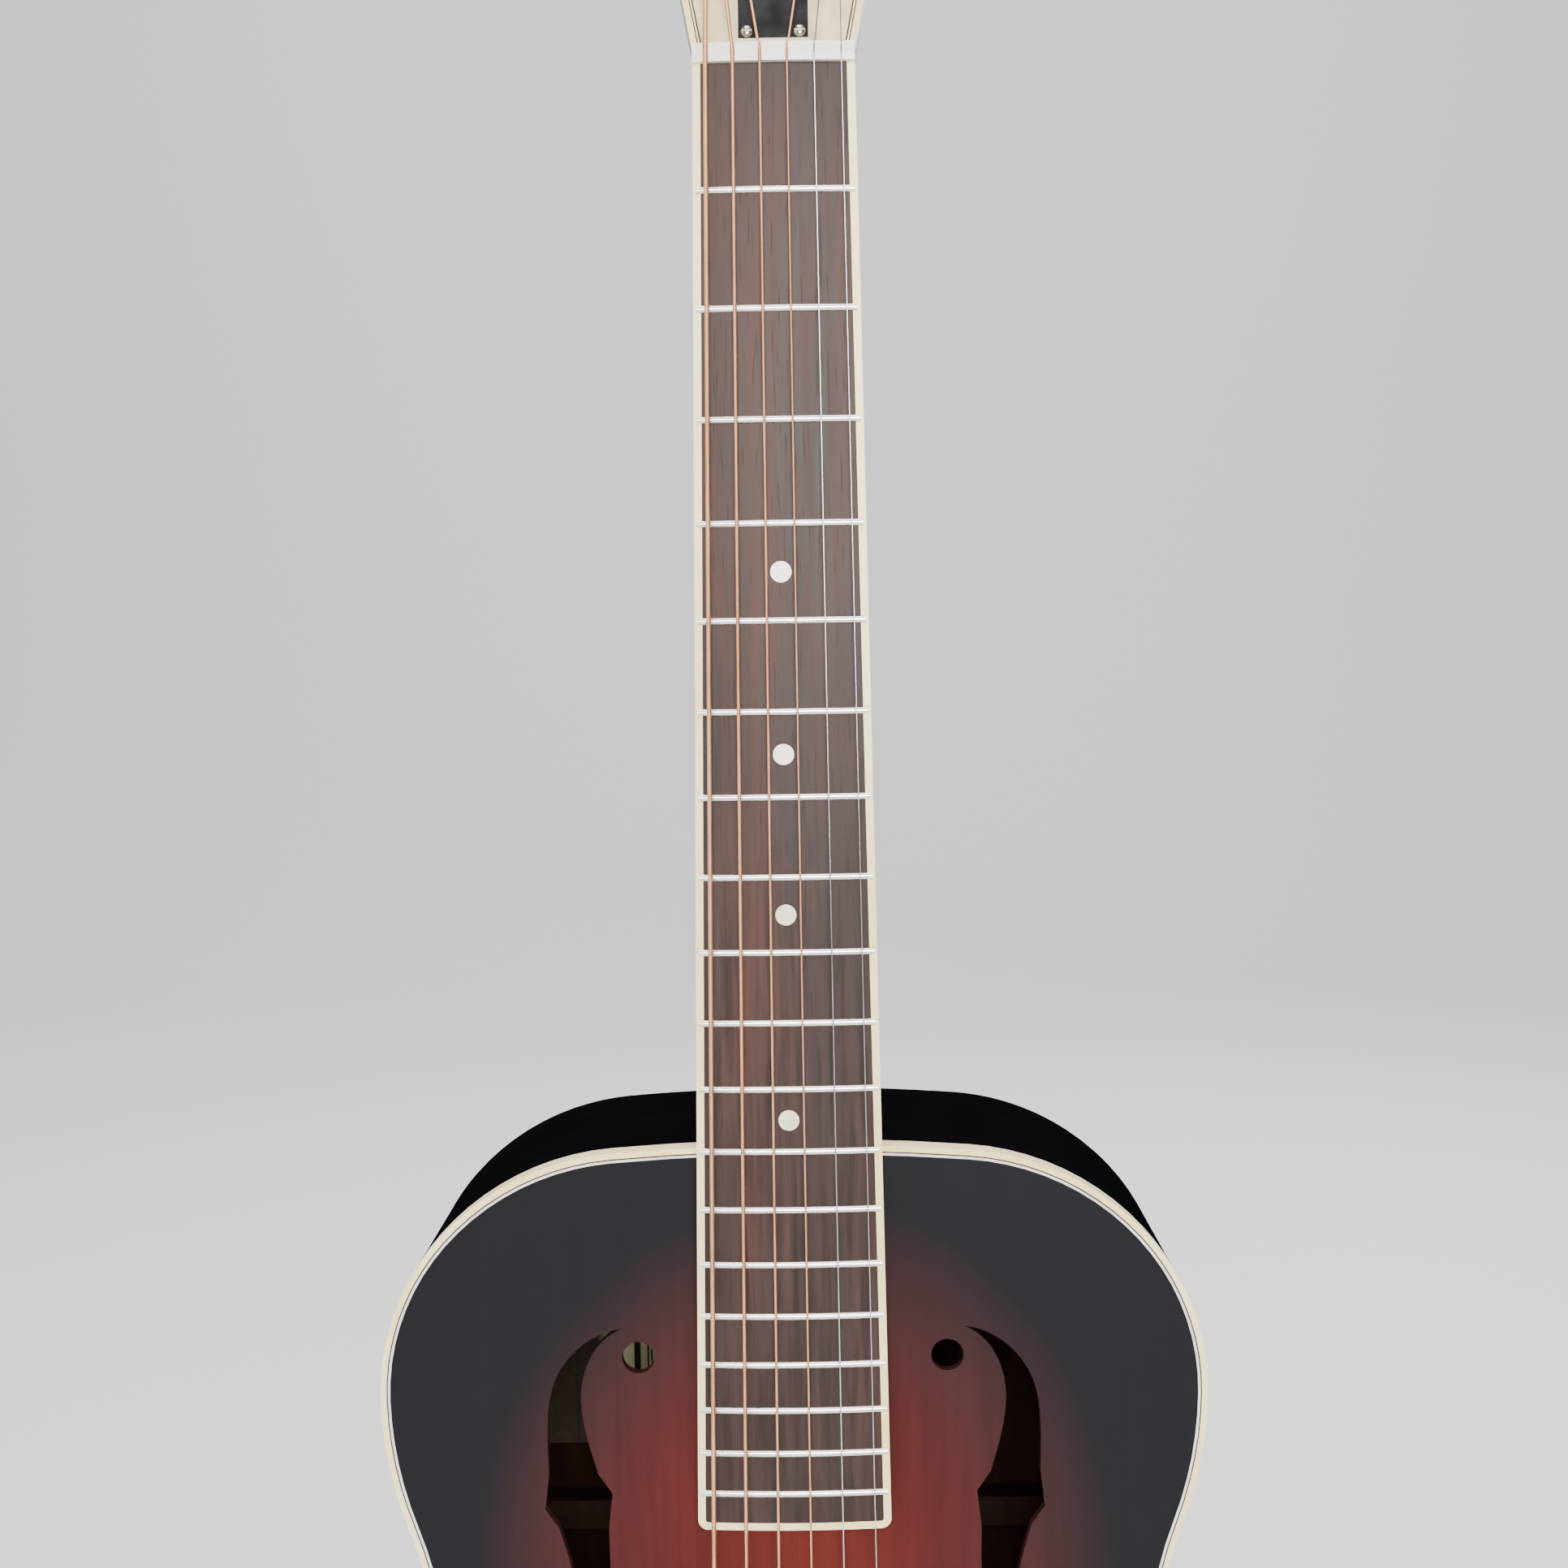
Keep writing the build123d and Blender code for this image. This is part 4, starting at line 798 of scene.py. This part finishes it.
def make_purfling():
    bm, mesh = merged_copy("body_purfling", "purfling_lines")
    layer = bm.verts.layers.float.new("across")
    face_level = min(v.co.y for v in bm.verts)
    rim = [e for e in bm.edges
           if all(abs(v.co.y - face_level) < 1e-5 for v in e.verts)
           and any(abs(f.normal.y) < 0.5 for f in e.link_faces)]
    groups = sorted(edge_groups(rim), key=lambda g: max(v.co.x for v in g))
    flat = [(v.co.x, v.co.z) for v in groups[0]]
    for vert in bm.verts:
        near = min((vert.co.x - x) ** 2 + (vert.co.z - z) ** 2 for x, z in flat)
        vert[layer] = 1.0 if near < RING_REACH ** 2 else 0.0
    return bm, mesh, len(groups)


def make_purfling_finish():
    lines = Finish("purfling", tint(226, 222, 208), rough=0.35, coat=0.3)
    across = lines.add("ShaderNodeAttribute", attribute_name="across").outputs["Fac"]
    age = lines.noise(60.0, detail=3.0)
    white = lines.ramp(age, ((0.3, tint(206, 204, 196)), (0.7, tint(232, 230, 222))))
    dark = lines.span(across, 0.33, 0.38, 1.0, 0.0)
    # A painted shade darkens the ring's inner edge, where the purfling meets the top.
    painted_inner_shade = lines.span(across, 0.93, 0.97, 0.0, 0.7)
    both = lines.maths("MAXIMUM", dark, painted_inner_shade)
    lines.colour(lines.mix(both, white, tint(30, 26, 26)))
    lines.rough(lines.span(age, 0.3, 0.7, 0.3, 0.45))
    return lines.material


bm, mesh, loops = make_purfling()
purfling = finish_piece(bm, mesh, [make_purfling_finish()])
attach(purfling, "guitar")
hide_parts("body_purfling")
print("purfling loops", loops)

# %% [markdown]
# ## Truss-rod cover
# The cover is cut from two-ply plastic, black on top and ivory below, so that its bevelled
# edge shows as a pale border. The border follows the bevel exactly if the finish picks it out
# by the way it faces: black straight out, and ivory where the surface turns away.

# %% Two-ply cover
def make_two_ply():
    cover = Finish("two_ply_plastic", tint(12, 12, 13), rough=0.24, coat=0.3)
    dot = cover.add("ShaderNodeVectorMath", operation="DOT_PRODUCT")
    cover.join(cover.add("ShaderNodeTexCoord").outputs["Normal"], dot.inputs[0])
    cover.set(dot, 1, HEAD_OUT)
    bevel = cover.span(dot.outputs["Value"], 0.95, 0.90)
    marks = cover.noise(120.0, detail=3.0)
    black = cover.ramp(marks, ((0.3, tint(8, 8, 9)), (0.8, tint(20, 20, 22))))
    ivory = cover.ramp(marks, ((0.3, tint(228, 218, 178)), (0.8, tint(244, 236, 204))))
    cover.colour(cover.mix(bevel, black, ivory))
    cover.rough(cover.span(marks, 0.3, 0.7, 0.18, 0.34))
    cover.bump(marks, 0.00003, 0.15)
    return cover.material


dress(frame["nodes"]["truss_rod_cover"], make_two_ply())
print("two-ply cover dressed")

# %% [markdown]
# ## Lines round the headstock
# Between the headstock's cream binding and its pearly face run a dark, a cream and another
# dark line, each a little under half a millimetre wide. Thin shapes like these are easy to cut
# from a flat face and hard to draw by a pattern. The face's outer edge is filled as one flat
# shape and inset three times: the rings that the insets leave are the lines.

# %% Headstock lines
DARK_LINE, CREAM_LINE = 0, 1
HEAD_LINES = ((0.00035, DARK_LINE), (0.00045, CREAM_LINE), (0.00045, DARK_LINE))
LINE_LIFT = 0.00004


def make_head_lines():
    source, mesh = merged_copy("headstock_overlay", "headstock_lines")
    rim = [e for e in source.edges
           if any(f.normal.dot(HEAD_OUT) > 0.99 for f in e.link_faces)
           and any(abs(f.normal.dot(HEAD_OUT)) < 0.5 for f in e.link_faces)]
    outer = max(edge_groups(rim), key=lambda g: max(v.co.x for v in g))
    middle = sum((v.co for v in outer), Vector()) / len(outer)
    around = sorted(outer, key=lambda v: math.atan2((v.co - middle).dot(HEAD_UP),
                                                    (v.co - middle).x))
    bm = bmesh.new()
    face = bm.faces.new([bm.verts.new(v.co) for v in around])
    source.free()
    bm.normal_update()
    if face.normal.dot(HEAD_OUT) < 0:
        face.normal_flip()
    for width, index in HEAD_LINES:
        ring = bmesh.ops.inset_region(bm, faces=[face], thickness=width, use_boundary=True,
                                      use_even_offset=True)
        for side_face in ring["faces"]:
            side_face.material_index = index
    bmesh.ops.delete(bm, geom=[face], context="FACES")
    bmesh.ops.translate(bm, verts=bm.verts[:], vec=HEAD_OUT * LINE_LIFT)
    return bm, mesh


def make_line_ink():
    ink = Finish("line_ink", tint(30, 26, 25), rough=0.4)
    marks = ink.noise(200.0, detail=2.0)
    ink.colour(ink.ramp(marks, ((0.3, tint(22, 19, 18)), (0.7, tint(44, 38, 36)))))
    return ink.material


bm, mesh = make_head_lines()
head_lines = finish_piece(bm, mesh, [make_line_ink(), FINISHES["cream_binding"]])
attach(head_lines, "guitar")
print("line faces", len(head_lines.data.polygons))

# %% [markdown]
# ## A helix of wire
# A string is wound several times round its post, and twisted round itself at its ball. Both
# are helices. A curve with a bevel could draw one, but a mesh keeps the wire's exact size and
# closed ends: a small circle is spun round an axis while it moves along it by a set amount.

# %% Helix helper
STEPS_A_TURN = 20


def helix_tube(name, centre, axis, radius, wire, turns, pitch, begin, material):
    """Wire of one diameter spun round an axis, rising by pitch a turn."""
    bm = bmesh.new()
    circle = bmesh.ops.create_circle(bm, cap_ends=False, radius=wire / 2, segments=8)
    outward = begin.normalized()
    frame_turn = Matrix((outward, axis.normalized(), outward.cross(axis).normalized()))
    bmesh.ops.transform(bm, matrix=frame_turn.transposed().to_4x4(), verts=circle["verts"])
    bmesh.ops.translate(bm, verts=circle["verts"], vec=centre + outward * radius)
    steps = int(turns * STEPS_A_TURN)
    start = circle["verts"][:]
    spun = bmesh.ops.spin(bm, geom=start + bm.edges[:], cent=centre, axis=axis,
                          dvec=axis * (pitch * turns / steps), angle=2 * math.pi * turns,
                          steps=steps)
    first = [e for e in bm.edges if all(v in set(start) for v in e.verts)]
    last = [e for e in spun["geom_last"] if isinstance(e, bmesh.types.BMEdge)]
    for loop in (first, last):
        bmesh.ops.contextual_create(bm, geom=loop)
    bmesh.ops.recalc_face_normals(bm, faces=bm.faces[:])
    mesh = bpy.data.meshes.new(name)
    return finish_piece(bm, mesh, [material], smooth=True)


print("helix helper ready")

# %% [markdown]
# ## String windings
# Each turn lies below the last, down towards the headstock, and a thick string takes fewer of
# them. The windings ride on their posts, so they turn when the button does.

# %% Extra turns on the posts
STRING_DIAMETERS = (1.35, 1.07, 0.81, 0.61, 0.41, 0.31)
POST_PLACES = ((22.0, 50.0), (24.0, 87.0), (26.0, 124.0))
POST_RADIUS = 3.0
STRING_LEVEL = 8.0
BUSHING_TOP = 2.5
WIRE_GAP = 0.03


def head_point(x, up, out):
    return HEAD_FOOT + Vector((x * MM, 0, 0)) + HEAD_UP * up * MM + HEAD_OUT * out * MM


for index, diameter in enumerate(STRING_DIAMETERS):
    number = 6 - index
    side = -1 if index < 3 else 1
    x, up = POST_PLACES[index if index < 3 else 5 - index]
    slot = "bronze_wound" if number > 2 else "plain_steel"
    wire = (diameter - 0.02) * MM
    turns = 3 if number > 3 else 4
    lowest = max(STRING_LEVEL - diameter * (turns + 0.3), BUSHING_TOP + diameter / 2)
    turns = min(turns, (STRING_LEVEL - diameter * 1.1 - lowest) / diameter + 0.05)
    piece = helix_tube(f"string_{number}_turns", head_point(side * x, up, lowest), HEAD_OUT,
                       (POST_RADIUS + diameter / 2 + WIRE_GAP) * MM, wire, turns, diameter * MM,
                       Vector((side, 0, 0)), FINISHES[slot])
    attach(piece, f"post_{number}")
    print(piece.name, round(turns, 2), "turns")

# %% [markdown]
# ## Locked string ends
# Where a string leaves its ball, its end is twisted back round itself for about five
# millimetres. The same helix, with the string as its axis, gives that lock.

# %% Twisted locks by the tailpiece
SADDLE_SPREAD = 53.4
BALL_SPREAD = 50.0
ARCH_RADIUS = 305.0
SADDLE_TOP = -5.2
SADDLE_LEVEL = -635.0
BALL_PLACE = (2.0, -761.5)
LOCK_WIRE = 0.36
LOCK_START = 0.0024
LOCK_TURNS = 9


def string_line(index):
    """Ball and saddle points of a string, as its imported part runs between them."""
    radius = STRING_DIAMETERS[index] / 2
    part = index / 5 - 0.5
    x = SADDLE_SPREAD * part
    drop = ARCH_RADIUS - math.sqrt(ARCH_RADIUS ** 2 - x * x)
    ball = Vector((BALL_SPREAD * part, *BALL_PLACE)) * MM
    saddle = Vector((x, SADDLE_TOP + drop - radius - 0.05, SADDLE_LEVEL)) * MM
    return ball, saddle


for index, diameter in enumerate(STRING_DIAMETERS):
    number = 6 - index
    ball, saddle = string_line(index)
    way = (saddle - ball).normalized()
    begin = way.cross(Vector((1, 0, 0))).normalized()
    slot = "bronze_wound" if number > 2 else "plain_steel"
    wire = LOCK_WIRE if number > 2 else diameter * 0.95
    piece = helix_tube(f"string_{number}_lock", ball + way * LOCK_START, way,
                       (diameter + wire) / 2 * MM, wire * MM, LOCK_TURNS, wire * 1.5 * MM, begin,
                       FINISHES[slot])
    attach(piece, "guitar")
print("locks made")
